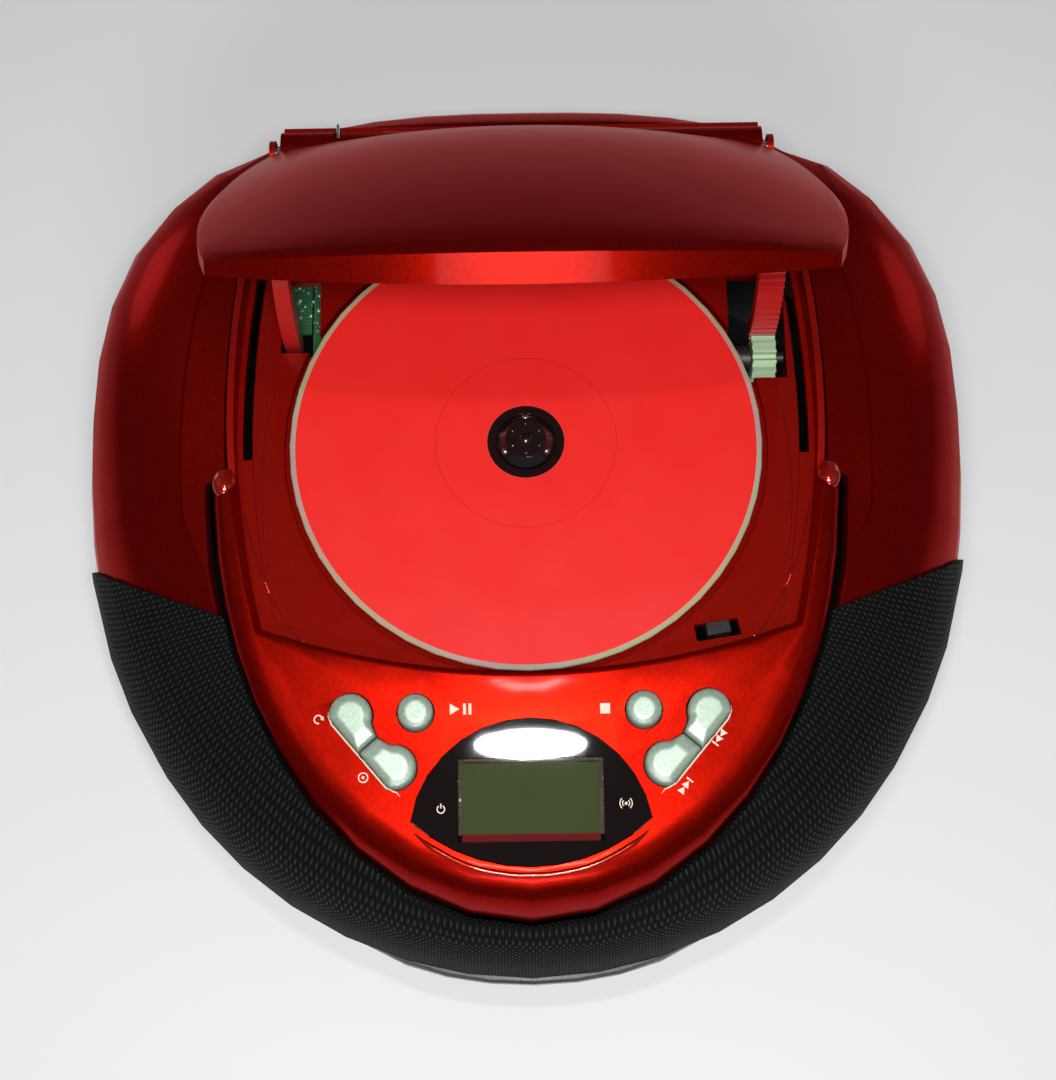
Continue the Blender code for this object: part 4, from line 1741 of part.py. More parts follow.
def make_damper(base):
    """The damper gear that the right arm drives, on the shaft of its body."""
    axis = empty("damper_axis", (RACK_CENTRE, GEAR_BACK, GEAR_HEIGHT), base)
    tip = GEAR_PITCH_RADIUS + TOOTH_HEIGHT_SHARE * TOOTH_MODULE
    root = GEAR_PITCH_RADIUS - TOOTH_DEPTH_SHARE * TOOTH_MODULE
    step = 2 * pi / GEAR_TEETH
    outline = []
    for n in range(GEAR_TEETH):
        middle = GEAR_LINE_ANGLE + (n + 0.5) * step
        wide, thin = TOOTH_ROOT_SHARE * step, TOOTH_TIP_SHARE * step
        for reach, turn in ((root, middle - wide), (tip, middle - thin), (tip, middle + thin),
                            (root, middle + wide)):
            outline.append((reach * cos(turn), reach * sin(turn)))
    gear = slab("damper_gear", outline, -GEAR_WIDTH / 2, GEAR_WIDTH / 2, "gear_green", axis, (0, 0, 0),
                SIDEWAYS)
    cut(gear,
        rod("gear_bore", GEAR_SHAFT_RADIUS + RUN, (-GEAR_WIDTH, 0, 0), (GEAR_WIDTH, 0, 0), None, axis))
    inner = ARM_HOLE_INNER + TOUCH
    gear_side = RACK_CENTRE - GEAR_WIDTH / 2 - TOUCH
    body = rod("damper_body", DAMPER_RADIUS, (inner, GEAR_BACK, GEAR_HEIGHT),
               (gear_side, GEAR_BACK, GEAR_HEIGHT), "black_plastic", base)
    join(body, rod("damper_shaft", GEAR_SHAFT_RADIUS, (inner + TOUCH, GEAR_BACK, GEAR_HEIGHT),
                   (ARM_HOLE_OUTER - TOUCH, GEAR_BACK, GEAR_HEIGHT), None, base))


def make_lid_switch(base):
    """The tongue that the closing lid presses down."""
    box("lid_switch", (-SWITCH_LENGTH / 2, -SWITCH_WIDTH / 2, -SWITCH_DEPTH),
        (SWITCH_LENGTH / 2, SWITCH_WIDTH / 2, DECK_FLOOR_STEP + SWITCH_PROUD), "black_plastic", base,
        (SWITCH_SIDE, -SWITCH_FRONT, DECK_FLOOR_TOP), (0, 0, SWITCH_TURN))


def make_aerial(base):
    """The folded aerial: a mount through the case, a tube that swings up and a rod that slides out of it."""
    x, y, z = -AERIAL_PIVOT_SIDE, AERIAL_BACK, AERIAL_HEIGHT
    half = AERIAL_MOUNT_HALF_WIDTH
    front = y - AERIAL_KNUCKLE_DEPTH + TOUCH
    box("aerial_mount", (x - half, front - AERIAL_MOUNT_DEPTH, z - half), (x + half, front, z + half),
        "black_plastic", base)
    axis = empty("aerial_axis", (x, y, z), base)
    tube = rod("aerial_tube", AERIAL_TUBE_RADIUS, (0, 0, 0), (AERIAL_LENGTH, 0, 0), "steel", axis)
    join(tube,
         rod("knuckle", AERIAL_KNUCKLE_RADIUS, (0, -AERIAL_KNUCKLE_DEPTH + 2 * TOUCH, 0),
             (0, AERIAL_HUB_PROUD, 0), None, axis))
    gap = TOUCH
    cut(tube,
        rod("tube_bore", AERIAL_INNER_RADIUS + gap, (AERIAL_BORE_START, 0, 0),
            (AERIAL_LENGTH + OVERRUN, 0, 0), None, axis))
    start = AERIAL_BORE_START + AERIAL_STEP / 2
    inner_axis = empty("aerial_inner_axis", (start, 0, 0), axis)
    reach = AERIAL_LENGTH - start + TOUCH
    inner = rod("aerial_inner", AERIAL_INNER_RADIUS, (0, 0, 0), (reach + AERIAL_TIP_LENGTH / 2, 0, 0),
                "steel", inner_axis)
    join(inner,
         rod("aerial_tip", AERIAL_TIP_RADIUS, (reach, 0, 0), (reach + AERIAL_TIP_LENGTH, 0, 0), None,
             inner_axis))


def build():
    make_paints()
    base = empty("disc_axis", (0, DISC_AXIS_Y, 0))
    top, bottom = make_case(base)
    make_grille(base)
    bezel = make_bezel(base)
    make_display(base, bezel)
    seats = make_buttons(base, bezel)
    make_boards(base, seats)
    make_deck(base)
    make_disc(base)
    make_mechanism(base)
    make_speakers(base)
    make_power(base, bottom)
    make_wheels(base, bottom)
    make_sliders(base, bottom)
    make_sockets(base, bottom)
    make_hinge_pins(base)
    make_damper(base)
    make_lid_switch(base)
    make_aerial(base)
    make_lid(base)


build()
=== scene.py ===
"""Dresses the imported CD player: procedural materials, small surface details, a plain studio, the camera."""
import json
from math import atan2, cos, hypot, pi, radians, sin

import bmesh
import bpy
from mathutils import Matrix, Vector
from mathutils.bvhtree import BVHTree


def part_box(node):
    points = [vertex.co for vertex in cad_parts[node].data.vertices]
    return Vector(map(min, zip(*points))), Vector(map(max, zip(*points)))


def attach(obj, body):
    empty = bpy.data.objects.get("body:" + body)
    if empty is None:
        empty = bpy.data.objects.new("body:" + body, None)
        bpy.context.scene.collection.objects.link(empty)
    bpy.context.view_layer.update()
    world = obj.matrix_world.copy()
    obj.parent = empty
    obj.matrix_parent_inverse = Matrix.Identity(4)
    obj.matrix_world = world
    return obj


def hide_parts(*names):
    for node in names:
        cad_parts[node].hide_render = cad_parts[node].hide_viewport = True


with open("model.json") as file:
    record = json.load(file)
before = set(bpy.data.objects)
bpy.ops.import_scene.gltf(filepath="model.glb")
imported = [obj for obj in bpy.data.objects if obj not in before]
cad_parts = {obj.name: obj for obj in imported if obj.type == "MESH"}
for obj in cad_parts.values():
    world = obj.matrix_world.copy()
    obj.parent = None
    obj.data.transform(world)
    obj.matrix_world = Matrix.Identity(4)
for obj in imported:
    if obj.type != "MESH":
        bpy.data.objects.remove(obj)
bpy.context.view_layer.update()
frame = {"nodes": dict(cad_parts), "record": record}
nodes = frame["nodes"]

MM = 0.001
DISC_Y = 8.75 * MM
DISC_TOP = 98 * MM
DISC_CLEAR_RADIUS = 9.8 * MM
DISC_PRINT_RADIUS = 58.5 * MM
DISC_RING_RADIUS = 23 * MM
HINGE = Vector((0, DISC_Y + 82 * MM, DISC_TOP + 3 * MM))
LID_OPEN_ANGLE = radians(50.5)
WINDOW_HALF_WIDTH = 17.5 * MM
WINDOW_REAR = -72.9 * MM
WINDOW_FRONT = -92.9 * MM
LCD_STRIP_REAR = -90.5 * MM
WEAVE_PITCH = 1.45
WEAVE_TURN_RADIUS = 108
GRILLE_RIM_RADIUS = 124 * MM
SHARP_ANGLE = radians(32)
BEVEL_ANGLE = radians(38)
WELD_DISTANCE = 0.002 * MM
SHORTEST_EDGE = 0.001 * MM
DOWN = Vector((0, 0, -1))
UP = Vector((0, 0, 1))
# Metres that lie clear of the whole player, where the rays start.
OVER_ALL = 0.3
BESIDE_ALL = 0.2
UNDER_ALL = -0.05
MATERIALS = {}
BODIES = frame["record"]["behaviour"]["bodies"]
BODY_OF = {node: body for body, members in BODIES.items() for node in members}
SLOT_OF = {part["node"]: part["material_slot"] for part in frame["record"]["subparts"]}


def shader(name):
    """A new material with its principled shader."""
    made = bpy.data.materials.new(name)
    made.use_nodes = True
    MATERIALS[name] = made
    return made, made.node_tree, made.node_tree.nodes["Principled BSDF"]


def add(tree, kind, **values):
    """Adds a shader node and sets its plain values."""
    made = tree.nodes.new(kind)
    for key, value in values.items():
        made.inputs[key].default_value = value
    return made


def maths(tree, operation, *values):
    """A math node over numbers and sockets; gives its output."""
    made = tree.nodes.new("ShaderNodeMath")
    made.operation = operation
    for n, value in enumerate(values):
        if isinstance(value, (int, float)):
            made.inputs[n].default_value = value
        else:
            tree.links.new(value, made.inputs[n])
    return made.outputs[0]


def plus(tree, one, two):
    return maths(tree, "ADD", one, two)


def minus(tree, one, two):
    return maths(tree, "SUBTRACT", one, two)


def times(tree, one, two):
    return maths(tree, "MULTIPLY", one, two)


def length(tree, x, y):
    """The length of a plan vector."""
    return maths(tree, "SQRT", plus(tree, times(tree, x, x), times(tree, y, y)))


def distance(tree, one, two):
    """How far apart two values are."""
    return maths(tree, "ABSOLUTE", minus(tree, one, two))


def blend(tree, share, one, two):
    """A colour mix; each colour is a tuple or a socket."""
    made = tree.nodes.new("ShaderNodeMix")
    made.data_type = "RGBA"
    for socket, value in ((made.inputs[0], share), (made.inputs[6], one), (made.inputs[7], two)):
        if isinstance(value, (int, float)):
            socket.default_value = value
        elif isinstance(value, tuple):
            socket.default_value = (*value, 1.0)
        else:
            tree.links.new(value, socket)
    return made.outputs[2]


def place(tree):
    """The surface's place in the object's own frame."""
    for made in tree.nodes:
        if made.type == "TEX_COORD":
            return made.outputs["Object"]
    return tree.nodes.new("ShaderNodeTexCoord").outputs["Object"]


def split(tree, vector):
    """The three parts of a vector."""
    made = tree.nodes.new("ShaderNodeSeparateXYZ")
    tree.links.new(vector, made.inputs[0])
    return made.outputs


def noise(tree, scale, detail=3.0, rough=0.55, where=None):
    """Cloudy noise between 0 and 1."""
    made = add(tree, "ShaderNodeTexNoise", Scale=scale, Detail=detail, Roughness=rough)
    tree.links.new(where or place(tree), made.inputs["Vector"])
    return made.outputs["Fac"]


def cells(tree, scale, output):
    """A cell pattern's random colour, or its distance from the cells' middles."""
    made = add(tree, "ShaderNodeTexVoronoi", Scale=scale)
    tree.links.new(place(tree), made.inputs["Vector"])
    return made.outputs[output]


def flake_grey(tree, scale):
    """One random grey for each flake."""
    made = tree.nodes.new("ShaderNodeSeparateColor")
    tree.links.new(cells(tree, scale, "Color"), made.inputs[0])
    return made.outputs[0]


def ramp(tree, value, low, high, out_low=0.0, out_high=1.0):
    """A value from one range to another, clamped."""
    made = tree.nodes.new("ShaderNodeMapRange")
    for n, number in enumerate((low, high, out_low, out_high)):
        made.inputs[n + 1].default_value = number
    tree.links.new(value, made.inputs[0])
    return made.outputs[0]


def paint(tree, bsdf, **sockets):
    """Joins values to the shader; an underscore in a name stands for a space."""
    for name, value in sockets.items():
        tree.links.new(value, bsdf.inputs[name.replace("_", " ")])


def fix(bsdf, **values):
    """Sets plain values on the shader; an underscore in a name stands for a space."""
    for name, value in values.items():
        bsdf.inputs[name.replace("_", " ")].default_value = value


def bump(tree, bsdf, height, strength, depth=0.1 * MM):
    """Raises the surface by a height value."""
    made = add(tree, "ShaderNodeBump", Strength=strength, Distance=depth)
    tree.links.new(height, made.inputs["Height"])
    paint(tree, bsdf, Normal=made.outputs["Normal"])


def lacquer(name, deep, bright, metallic, roughness, coat, flakes=0.35):
    """Metallic lacquer: fine flakes under a clear coat, with faint handling marks."""
    _, tree, bsdf = shader(name)
    grey = flake_grey(tree, 2600.0)
    cloud = ramp(tree, noise(tree, 14, 4), 0.0, 1.0, 0.35, 0.65)
    share = plus(tree, times(tree, grey, flakes), times(tree, cloud, 1 - flakes))
    marks = noise(tree, 160, 6, 0.7)
    paint(tree, bsdf, Base_Color=blend(tree, share, deep, bright),
          Roughness=ramp(tree, marks, 0.35, 0.75, roughness - 0.015, roughness + 0.025))
    fix(bsdf, Metallic=metallic, Coat_Weight=coat, Coat_Roughness=0.07, Specular_Tint=(0.9, 0.07, 0.03, 1.0))
    bump(tree, bsdf, noise(tree, 420, 3), 0.04, 0.2 * MM)


def moulded(name, colour, roughness, grain=0.12, scale=900.0, metallic=0.0, coat=0.0, spread=0.25):
    """Moulded plastic: a fine texture and slight unevenness of colour and gloss."""
    _, tree, bsdf = shader(name)
    dark = tuple(value * (1 - spread) for value in colour)
    pale = tuple(min(1.0, value * (1 + spread)) for value in colour)
    marks = noise(tree, 120, 5, 0.7)
    paint(tree, bsdf, Base_Color=blend(tree, noise(tree, 30, 5), dark, pale),
          Roughness=ramp(tree, marks, 0.3, 0.75, max(0.03, roughness - 0.07), roughness + 0.1))
    fix(bsdf, Metallic=metallic, Coat_Weight=coat, Coat_Roughness=0.12)
    bump(tree, bsdf, noise(tree, scale, 4), grain)


def brushed(name, colour, roughness):
    """Metal with fine drawn lines."""
    _, tree, bsdf = shader(name)
    stretch = add(tree, "ShaderNodeMapping", Scale=(1, 1, 40))
    tree.links.new(place(tree), stretch.inputs["Vector"])
    lines = noise(tree, 260, 5, 0.7, stretch.outputs[0])
    dark = tuple(value * 0.7 for value in colour)
    paint(tree, bsdf, Base_Color=blend(tree, lines, dark, colour),
          Roughness=ramp(tree, lines, 0.3, 0.7, roughness - 0.06, roughness + 0.14))
    fix(bsdf, Metallic=1.0)
    bump(tree, bsdf, lines, 0.08)


def make_key_paint():
    """Pearl silver keys: pale green grey with fine mica."""
    _, tree, bsdf = shader("pearl_key")
    tone = blend(tree, flake_grey(tree, 3200.0), (0.24, 0.32, 0.25), (0.34, 0.42, 0.34))
    paint(tree, bsdf, Base_Color=tone, Roughness=ramp(tree, noise(tree, 90, 5), 0.3, 0.7, 0.36, 0.42))
    fix(bsdf, Metallic=0.35)


def make_board_paint(name, mask, bare, pitch):
    """Circuit board: solder mask with raised tracks and pads."""
    _, tree, bsdf = shader(name)
    lighter = tuple(value * 1.4 for value in mask)
    tracks = add(tree, "ShaderNodeTexBrick", Scale=pitch, Color1=(*mask, 1), Color2=(*lighter, 1),
                 Mortar=(*bare, 1))
    tracks.inputs["Mortar Size"].default_value = 0.06
    tree.links.new(place(tree), tracks.inputs["Vector"])
    pads = ramp(tree, cells(tree, 420.0, "Distance"), 0.18, 0.24, 1.0, 0.0)
    paint(tree, bsdf, Base_Color=blend(tree, pads, tracks.outputs["Color"], (0.55, 0.56, 0.5)),
          Metallic=times(tree, pads, 0.8), Roughness=ramp(tree, noise(tree, 200, 3), 0.3, 0.7, 0.3, 0.5))
    bump(tree, bsdf, plus(tree, tracks.outputs["Fac"], pads), 0.3)


def make_disc_paint():
    """Red printed face with a fine ring, dark clear middle and the mirrored rim, whose gold tone and bands of
    hue are painted glints and painted sheen.
    """
    _, tree, bsdf = shader("disc_face")
    x, y, z = split(tree, place(tree))
    y = minus(tree, y, DISC_Y)
    reach = length(tree, x, y)
    turn = maths(tree, "ARCTAN2", y, x)
    inner = ramp(tree, reach, DISC_CLEAR_RADIUS - 0.05 * MM, DISC_CLEAR_RADIUS + 0.1 * MM)
    outer = ramp(tree, reach, DISC_PRINT_RADIUS, DISC_PRINT_RADIUS + 0.15 * MM, 1.0, 0.0)
    top = ramp(tree, z, DISC_TOP - 0.5 * MM, DISC_TOP - 0.3 * MM)
    printed = times(tree, times(tree, inner, outer), top)
    bare = minus(tree, 1.0, printed)
    # Painted sheen: bands of hue that shift with the distance from the middle and the turn round it.
    sway = times(tree, maths(tree, "SINE", times(tree, turn, 2.0)), 0.45)
    painted_rainbow = maths(tree, "FRACT", plus(tree, times(tree, reach, 95.0), sway))
    hue = tree.nodes.new("ShaderNodeCombineColor")
    hue.mode = "HSV"
    tree.links.new(painted_rainbow, hue.inputs[0])
    hue.inputs[1].default_value = 0.35
    hue.inputs[2].default_value = 0.75
    # The bare rim: a warm gold tone mixed with the bands of hue, painted glints and painted sheen over the
    # silver mirror layer; the clear middle stays near black.
    foiled = ramp(tree, reach, DISC_CLEAR_RADIUS, DISC_CLEAR_RADIUS + 0.1 * MM)
    rim_sheen_and_clear_middle = blend(tree, foiled, (0.006, 0.004, 0.004), blend(tree, 0.6, hue.outputs[0], (0.74, 0.60, 0.34)))
    ink = blend(tree, noise(tree, 60, 5), (0.74, 0.012, 0.010), (0.82, 0.018, 0.014))
    ring = ramp(tree, distance(tree, reach, DISC_RING_RADIUS), 0.12 * MM, 0.2 * MM, 0.55, 0.0)
    ink = blend(tree, ring, ink, (0.5, 0.006, 0.006))
    marks = ramp(tree, noise(tree, 70, 5), 0.3, 0.7, 0.13, 0.2)
    paint(tree, bsdf, Base_Color=blend(tree, printed, rim_sheen_and_clear_middle, ink),
          Metallic=times(tree, foiled, times(tree, bare, 0.5)),
          Roughness=plus(tree, times(tree, printed, 0.22), marks))
    fix(bsdf, Coat_Weight=0.6, Coat_Roughness=0.08)
    grooves = maths(tree, "SINE", times(tree, reach, 42000.0))
    bump(tree, bsdf, times(tree, grooves, bare), 0.03)


def make_lens_paint():
    """Smoked window: black print on its back all round the display, clear tint over it."""
    _, tree, bsdf = shader("smoked_window")
    x, y, _ = split(tree, place(tree))
    soft = 0.1 * MM
    off_middle = maths(tree, "ABSOLUTE", x)
    beside = ramp(tree, off_middle, WINDOW_HALF_WIDTH - soft, WINDOW_HALF_WIDTH + soft, 1.0, 0.0)
    rear = ramp(tree, y, WINDOW_REAR - soft, WINDOW_REAR + soft, 1.0, 0.0)
    front = ramp(tree, y, WINDOW_FRONT - soft, WINDOW_FRONT + soft)
    window = times(tree, times(tree, rear, front), beside)
    tint = blend(tree, noise(tree, 40, 3), (0.004, 0.002, 0.002), (0.007, 0.003, 0.003))
    marks = ramp(tree, noise(tree, 50, 5), 0.3, 0.7, 0.015, 0.03)
    paint(tree, bsdf, Base_Color=tint, Alpha=ramp(tree, window, 0.0, 1.0, 1.0, 0.25), Roughness=marks)


def make_display_paint():
    """Unlit reflective display: olive glass with faint rows and a red strip along its front."""
    _, tree, bsdf = shader("display_glass")
    _, y, _ = split(tree, place(tree))
    rows = times(tree, ramp(tree, maths(tree, "SINE", times(tree, y, 9000.0)), 0.2, 0.9), 0.06)
    olive = blend(tree, noise(tree, 60, 4), (0.105, 0.15, 0.04), (0.13, 0.18, 0.055))
    strip = ramp(tree, y, LCD_STRIP_REAR - 0.1 * MM, LCD_STRIP_REAR + 0.1 * MM, 1.0, 0.0)
    tone = blend(tree, strip, blend(tree, rows, olive, (0.03, 0.04, 0.02)), (0.34, 0.018, 0.014))
    paint(tree, bsdf, Base_Color=tone, Roughness=ramp(tree, noise(tree, 120, 4), 0.3, 0.7, 0.6, 0.7))
    fix(bsdf, Specular_IOR_Level=0.15)


def make_grille_paint():
    """Black woven cover: raised knots in offset rows, laid out by the piece's UV map in millimetres."""
    _, tree, bsdf = shader("grille_weave")
    spot = tree.nodes.new("ShaderNodeUVMap")
    spot.uv_map = "weave"
    u, v, _ = split(tree, spot.outputs[0])
    across = maths(tree, "DIVIDE", u, WEAVE_PITCH)
    along = maths(tree, "DIVIDE", v, WEAVE_PITCH * 0.5)
    odd_row = maths(tree, "FLOORED_MODULO", maths(tree, "FLOOR", along), 2.0)
    shifted = plus(tree, across, times(tree, odd_row, 0.5))
    dx = times(tree, minus(tree, maths(tree, "FRACT", shifted), 0.5), 2.0)
    dy = minus(tree, maths(tree, "FRACT", along), 0.5)
    knot = ramp(tree, length(tree, dx, dy), 0.10, 0.46, 1.0, 0.0)
    # Painted highlight: the knots are paler than the near-black between them.
    lit = blend(tree, noise(tree, 900, 2), (0.006, 0.008, 0.007), (0.034, 0.042, 0.034))
    paint(tree, bsdf, Base_Color=blend(tree, knot, (0.0008, 0.001, 0.0012), lit),
          Roughness=ramp(tree, knot, 0.0, 1.0, 0.8, 0.42))
    fix(bsdf, Specular_IOR_Level=0.12)
    bump(tree, bsdf, knot, 0.5, 0.3 * MM)


lacquer("red_lacquer", (0.15, 0.0012, 0.0008), (0.34, 0.0055, 0.001), 0.85, 0.29, coat=0.04)
lacquer("red_satin", (0.17, 0.002, 0.001), (0.30, 0.006, 0.002), 0.4, 0.36, coat=0.25, flakes=0.2)
# A lighter, glossier copy of the red lacquer: painted highlight on the rolled ridges and the arm ends.
lacquer("painted_highlight_lacquer", (0.30, 0.004, 0.002), (0.46, 0.02, 0.006), 0.7, 0.2, coat=0.9)
moulded("black_shell", (0.012, 0.012, 0.014), 0.42, 0.25)
moulded("grey_trim", (0.055, 0.06, 0.066), 0.3, 0.05, metallic=0.3, coat=0.4)
moulded("black_parts", (0.012, 0.012, 0.012), 0.4, 0.15)
moulded("nylon_green", (0.38, 0.52, 0.32), 0.5, 0.1, spread=0.12)
moulded("red_arm", (0.42, 0.012, 0.010), 0.38, 0.08, coat=0.3)
moulded("solder", (0.55, 0.56, 0.54), 0.3, 0.02, metallic=0.7, spread=0.08)
# Near-black for painted shade: the vent slots and the screws' cross recesses.
moulded("vent_black", (0.002, 0.002, 0.002), 0.9, 0.1)
moulded("plate_grey", (0.30, 0.31, 0.32), 0.42, 0.06, metallic=0.4, spread=0.05)
moulded("felt_grey", (0.05, 0.05, 0.055), 0.95, 0.8, 1400.0)
moulded("hub_black", (0.006, 0.005, 0.005), 0.16, 0.05, coat=0.6)
# Cream ink for the printed marks; the same cream is the painted highlight along the keys' recess edges.
moulded("cream_print_and_highlight", (0.72, 0.60, 0.46), 0.55, 0.02, spread=0.04)
moulded("rubber_foot", (0.018, 0.018, 0.018), 0.8, 0.4)
moulded("pulp", (0.02, 0.02, 0.021), 0.85, 0.6, 500.0)
moulded("silver_wheel", (0.42, 0.43, 0.44), 0.32, 0.08, metallic=0.8, coat=0.3, spread=0.1)
moulded("red_lamp", (0.35, 0.02, 0.02), 0.2, 0.02, coat=0.6)
moulded("green_lamp", (0.04, 0.22, 0.05), 0.2, 0.02, coat=0.6)
moulded("blue_lens", (0.03, 0.05, 0.16), 0.06, 0.01, coat=1.0)
brushed("bright_steel", (0.62, 0.62, 0.63), 0.24)
brushed("dark_steel_plate", (0.30, 0.30, 0.31), 0.36)
make_key_paint()
make_board_paint("green_board", (0.010, 0.075, 0.030), (0.03, 0.13, 0.05), 260.0)
make_board_paint("brown_board", (0.20, 0.11, 0.05), (0.35, 0.22, 0.10), 220.0)
make_disc_paint()
make_lens_paint()
make_display_paint()
make_grille_paint()

KEYS = ["button_play", "button_stop", "button_mode", "button_source", "button_previous", "button_next"]
DRESS = {
    "red_lacquer": ["top_case", "front_bezel", "lid_cover"],
    "red_satin": ["cd_deck", "lid_liner"],
    "black_shell": ["bottom_case", "battery_door"],
    "grey_trim": ["chin_trim"],
    "pearl_key": KEYS,
    "smoked_window": ["display_lens"],
    "display_glass": ["lcd_panel"],
    "red_lamp": ["power_led"],
    "green_lamp": ["stereo_led"],
    "green_board": ["main_board"],
    "brown_board": ["control_board"],
    "bright_steel": ["guide_rod_left", "guide_rod_right", "spindle_motor", "sled_motor", "hinge_pin_left",
                     "hinge_pin_right", "lid_spring", "usb_port", "aerial_tube", "aerial_inner"],
    "dark_steel_plate": ["mechanism_chassis", "speaker_frame_left", "speaker_frame_right",
                         "speaker_magnet_left", "speaker_magnet_right", "transformer", "card_slot"],
    "hub_black": ["disc_hub"],
    "black_parts": ["laser_sled", "battery_box", "ac_inlet", "lid_switch", "damper_body", "aerial_mount"],
    "pulp": ["speaker_cone_left", "speaker_cone_right"],
    "rubber_foot": ["foot_front_left", "foot_front_right", "foot_rear_left", "foot_rear_right"],
    "nylon_green": ["damper_gear"],
    "red_arm": ["lid_arm_left", "lid_arm_right"],
    "disc_face": ["disc"],
    "blue_lens": ["laser_lens"],
    "silver_wheel": ["volume_knob", "tuning_knob", "function_switch", "band_switch"],
}
EDGES = {
    "disc_hub": 0.2, "lid_switch": 0.25, "volume_knob": 0.2, "tuning_knob": 0.2, "function_switch": 0.25,
    "band_switch": 0.25, "aerial_mount": 0.4, "usb_port": 0.2, "card_slot": 0.2, "foot_front_left": 0.5,
    "foot_front_right": 0.5, "foot_rear_left": 0.5, "foot_rear_right": 0.5, "lid_arm_left": 0.3,
    "damper_body": 0.3, "chin_trim": 0.3, "cd_deck": 0.45, "front_bezel": 0.6, "top_case": 0.3,
    "lid_cover": 0.5,
}


def mesh_of(name, shape):
    """A new mesh from a finished shape."""
    mesh = bpy.data.meshes.new(name)
    shape.to_mesh(mesh)
    shape.free()
    return mesh


def home(node):
    """The body and material slot of a node."""
    return BODY_OF[node], SLOT_OF[node]


def link(name, mesh, finish, body, slot):
    """A new piece that rides on a body."""
    piece = bpy.data.objects.new(name, mesh)
    bpy.context.scene.collection.objects.link(piece)
    mesh.materials.clear()
    mesh.materials.append(MATERIALS[finish])
    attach(piece, body)
    return piece


def welded_copy(node):
    """A copy of a node's mesh with its faces joined up and shaded round, but for its real edges."""
    mesh = nodes[node].data.copy()
    shape = bmesh.new()
    shape.from_mesh(mesh)
    bmesh.ops.remove_doubles(shape, verts=shape.verts, dist=WELD_DISTANCE)
    bmesh.ops.dissolve_degenerate(shape, edges=shape.edges, dist=SHORTEST_EDGE)
    bmesh.ops.recalc_face_normals(shape, faces=shape.faces)
    for face in shape.faces:
        face.smooth = True
    for edge in shape.edges:
        edge.smooth = len(edge.link_faces) == 2 and edge.calc_face_angle(pi) < SHARP_ANGLE
    return mesh, shape


def write_back(mesh, shape):
    """Puts a finished shape into its mesh and drops the mesh's stored normals."""
    shape.to_mesh(mesh)
    shape.free()
    if "custom_normal" in mesh.attributes:
        mesh.attributes.remove(mesh.attributes["custom_normal"])


def dress(node, finish, edge):
    """Stands a smoothly shaded copy in a node's place, with its edges broken by a small round."""
    mesh, shape = welded_copy(node)
    write_back(mesh, shape)
    piece = link(node + "_skin", mesh, finish, *home(node))
    if edge:
        rounded = piece.modifiers.new("edge", "BEVEL")
        rounded.width = edge
        rounded.segments = 2
        rounded.limit_method = "ANGLE"
        rounded.angle_limit = BEVEL_ANGLE
        rounded.harden_normals = True
    weight = piece.modifiers.new("shade", "WEIGHTED_NORMAL")
    weight.mode = "FACE_AREA_WITH_ANGLE"
    weight.keep_sharp = True
    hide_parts(node)


def dress_key(node):
    """Stands a softly rounded copy in a key's place."""
    mesh, shape = welded_copy(node)
    write_back(mesh, shape)
    piece = link(node + "_skin", mesh, "pearl_key", *home(node))
    fine = piece.modifiers.new("fine", "REMESH")
    fine.mode = "VOXEL"
    fine.voxel_size = 0.28 * MM
    fine.use_smooth_shade = True
    soft = piece.modifiers.new("soft", "SMOOTH")
    soft.factor = 0.5
    soft.iterations = 9
    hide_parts(node)


def dress_grille():
    """The speaker cover with its weave laid out along the surface."""
    mesh, shape = welded_copy("speaker_grille")
    layer = shape.loops.layers.uv.new("weave")
    for face in shape.faces:
        middle = face.calc_center_median()
        base = atan2(middle.y - DISC_Y, middle.x)
        for loop in face.loops:
            spot = loop.vert.co
            reach = hypot(spot.x, spot.y - DISC_Y)
            turn = atan2(spot.y - DISC_Y, spot.x)
            if turn - base > pi:
                turn -= 2 * pi
            if base - turn > pi:
                turn += 2 * pi
            share = min(1.0, reach / GRILLE_RIM_RADIUS)
            down = (DISC_TOP - spot.z) * 0.75 + reach * (1 - share ** 3 * 0.5)
            loop[layer].uv = (turn * WEAVE_TURN_RADIUS, down / MM)
    write_back(mesh, shape)
    piece = link("grille_cover", mesh, "grille_weave", "housing", "grille_black")
    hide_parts("speaker_grille")


def surface_of(*names):
    """A search tree over the faces of some nodes, in world coordinates."""
    points, faces = [], []
    for name in names:
        mesh = nodes[name].data
        first = len(points)
        points.extend(nodes[name].matrix_world @ vertex.co for vertex in mesh.vertices)
        faces.extend([first + corner for corner in face.vertices] for face in mesh.polygons)
    return BVHTree.FromPolygons(points, faces)


def at(x, y, height):
    """A point from plan millimetres round the disc's middle and a height in metres."""
    return Vector((x * MM, y * MM + DISC_Y, height))


def on_top(tree, x, y):
    """The point and normal of a surface under a plan point, in millimetres from the disc's middle."""
    hit, normal, _, _ = tree.ray_cast(at(x, y, OVER_ALL), DOWN)
    if hit is None:
        hit, normal, _, _ = tree.find_nearest(at(x, y, DISC_TOP))
    return hit, normal


def side_point(tree, angle, height):
    """The point of the outer wall at a plan angle and height, and its outward normal."""
    away = Vector((cos(radians(angle)), sin(radians(angle)), 0))
    hit, normal, _, _ = tree.ray_cast(at(0, 0, height * MM) + away * BESIDE_ALL, -away)
    return hit, normal


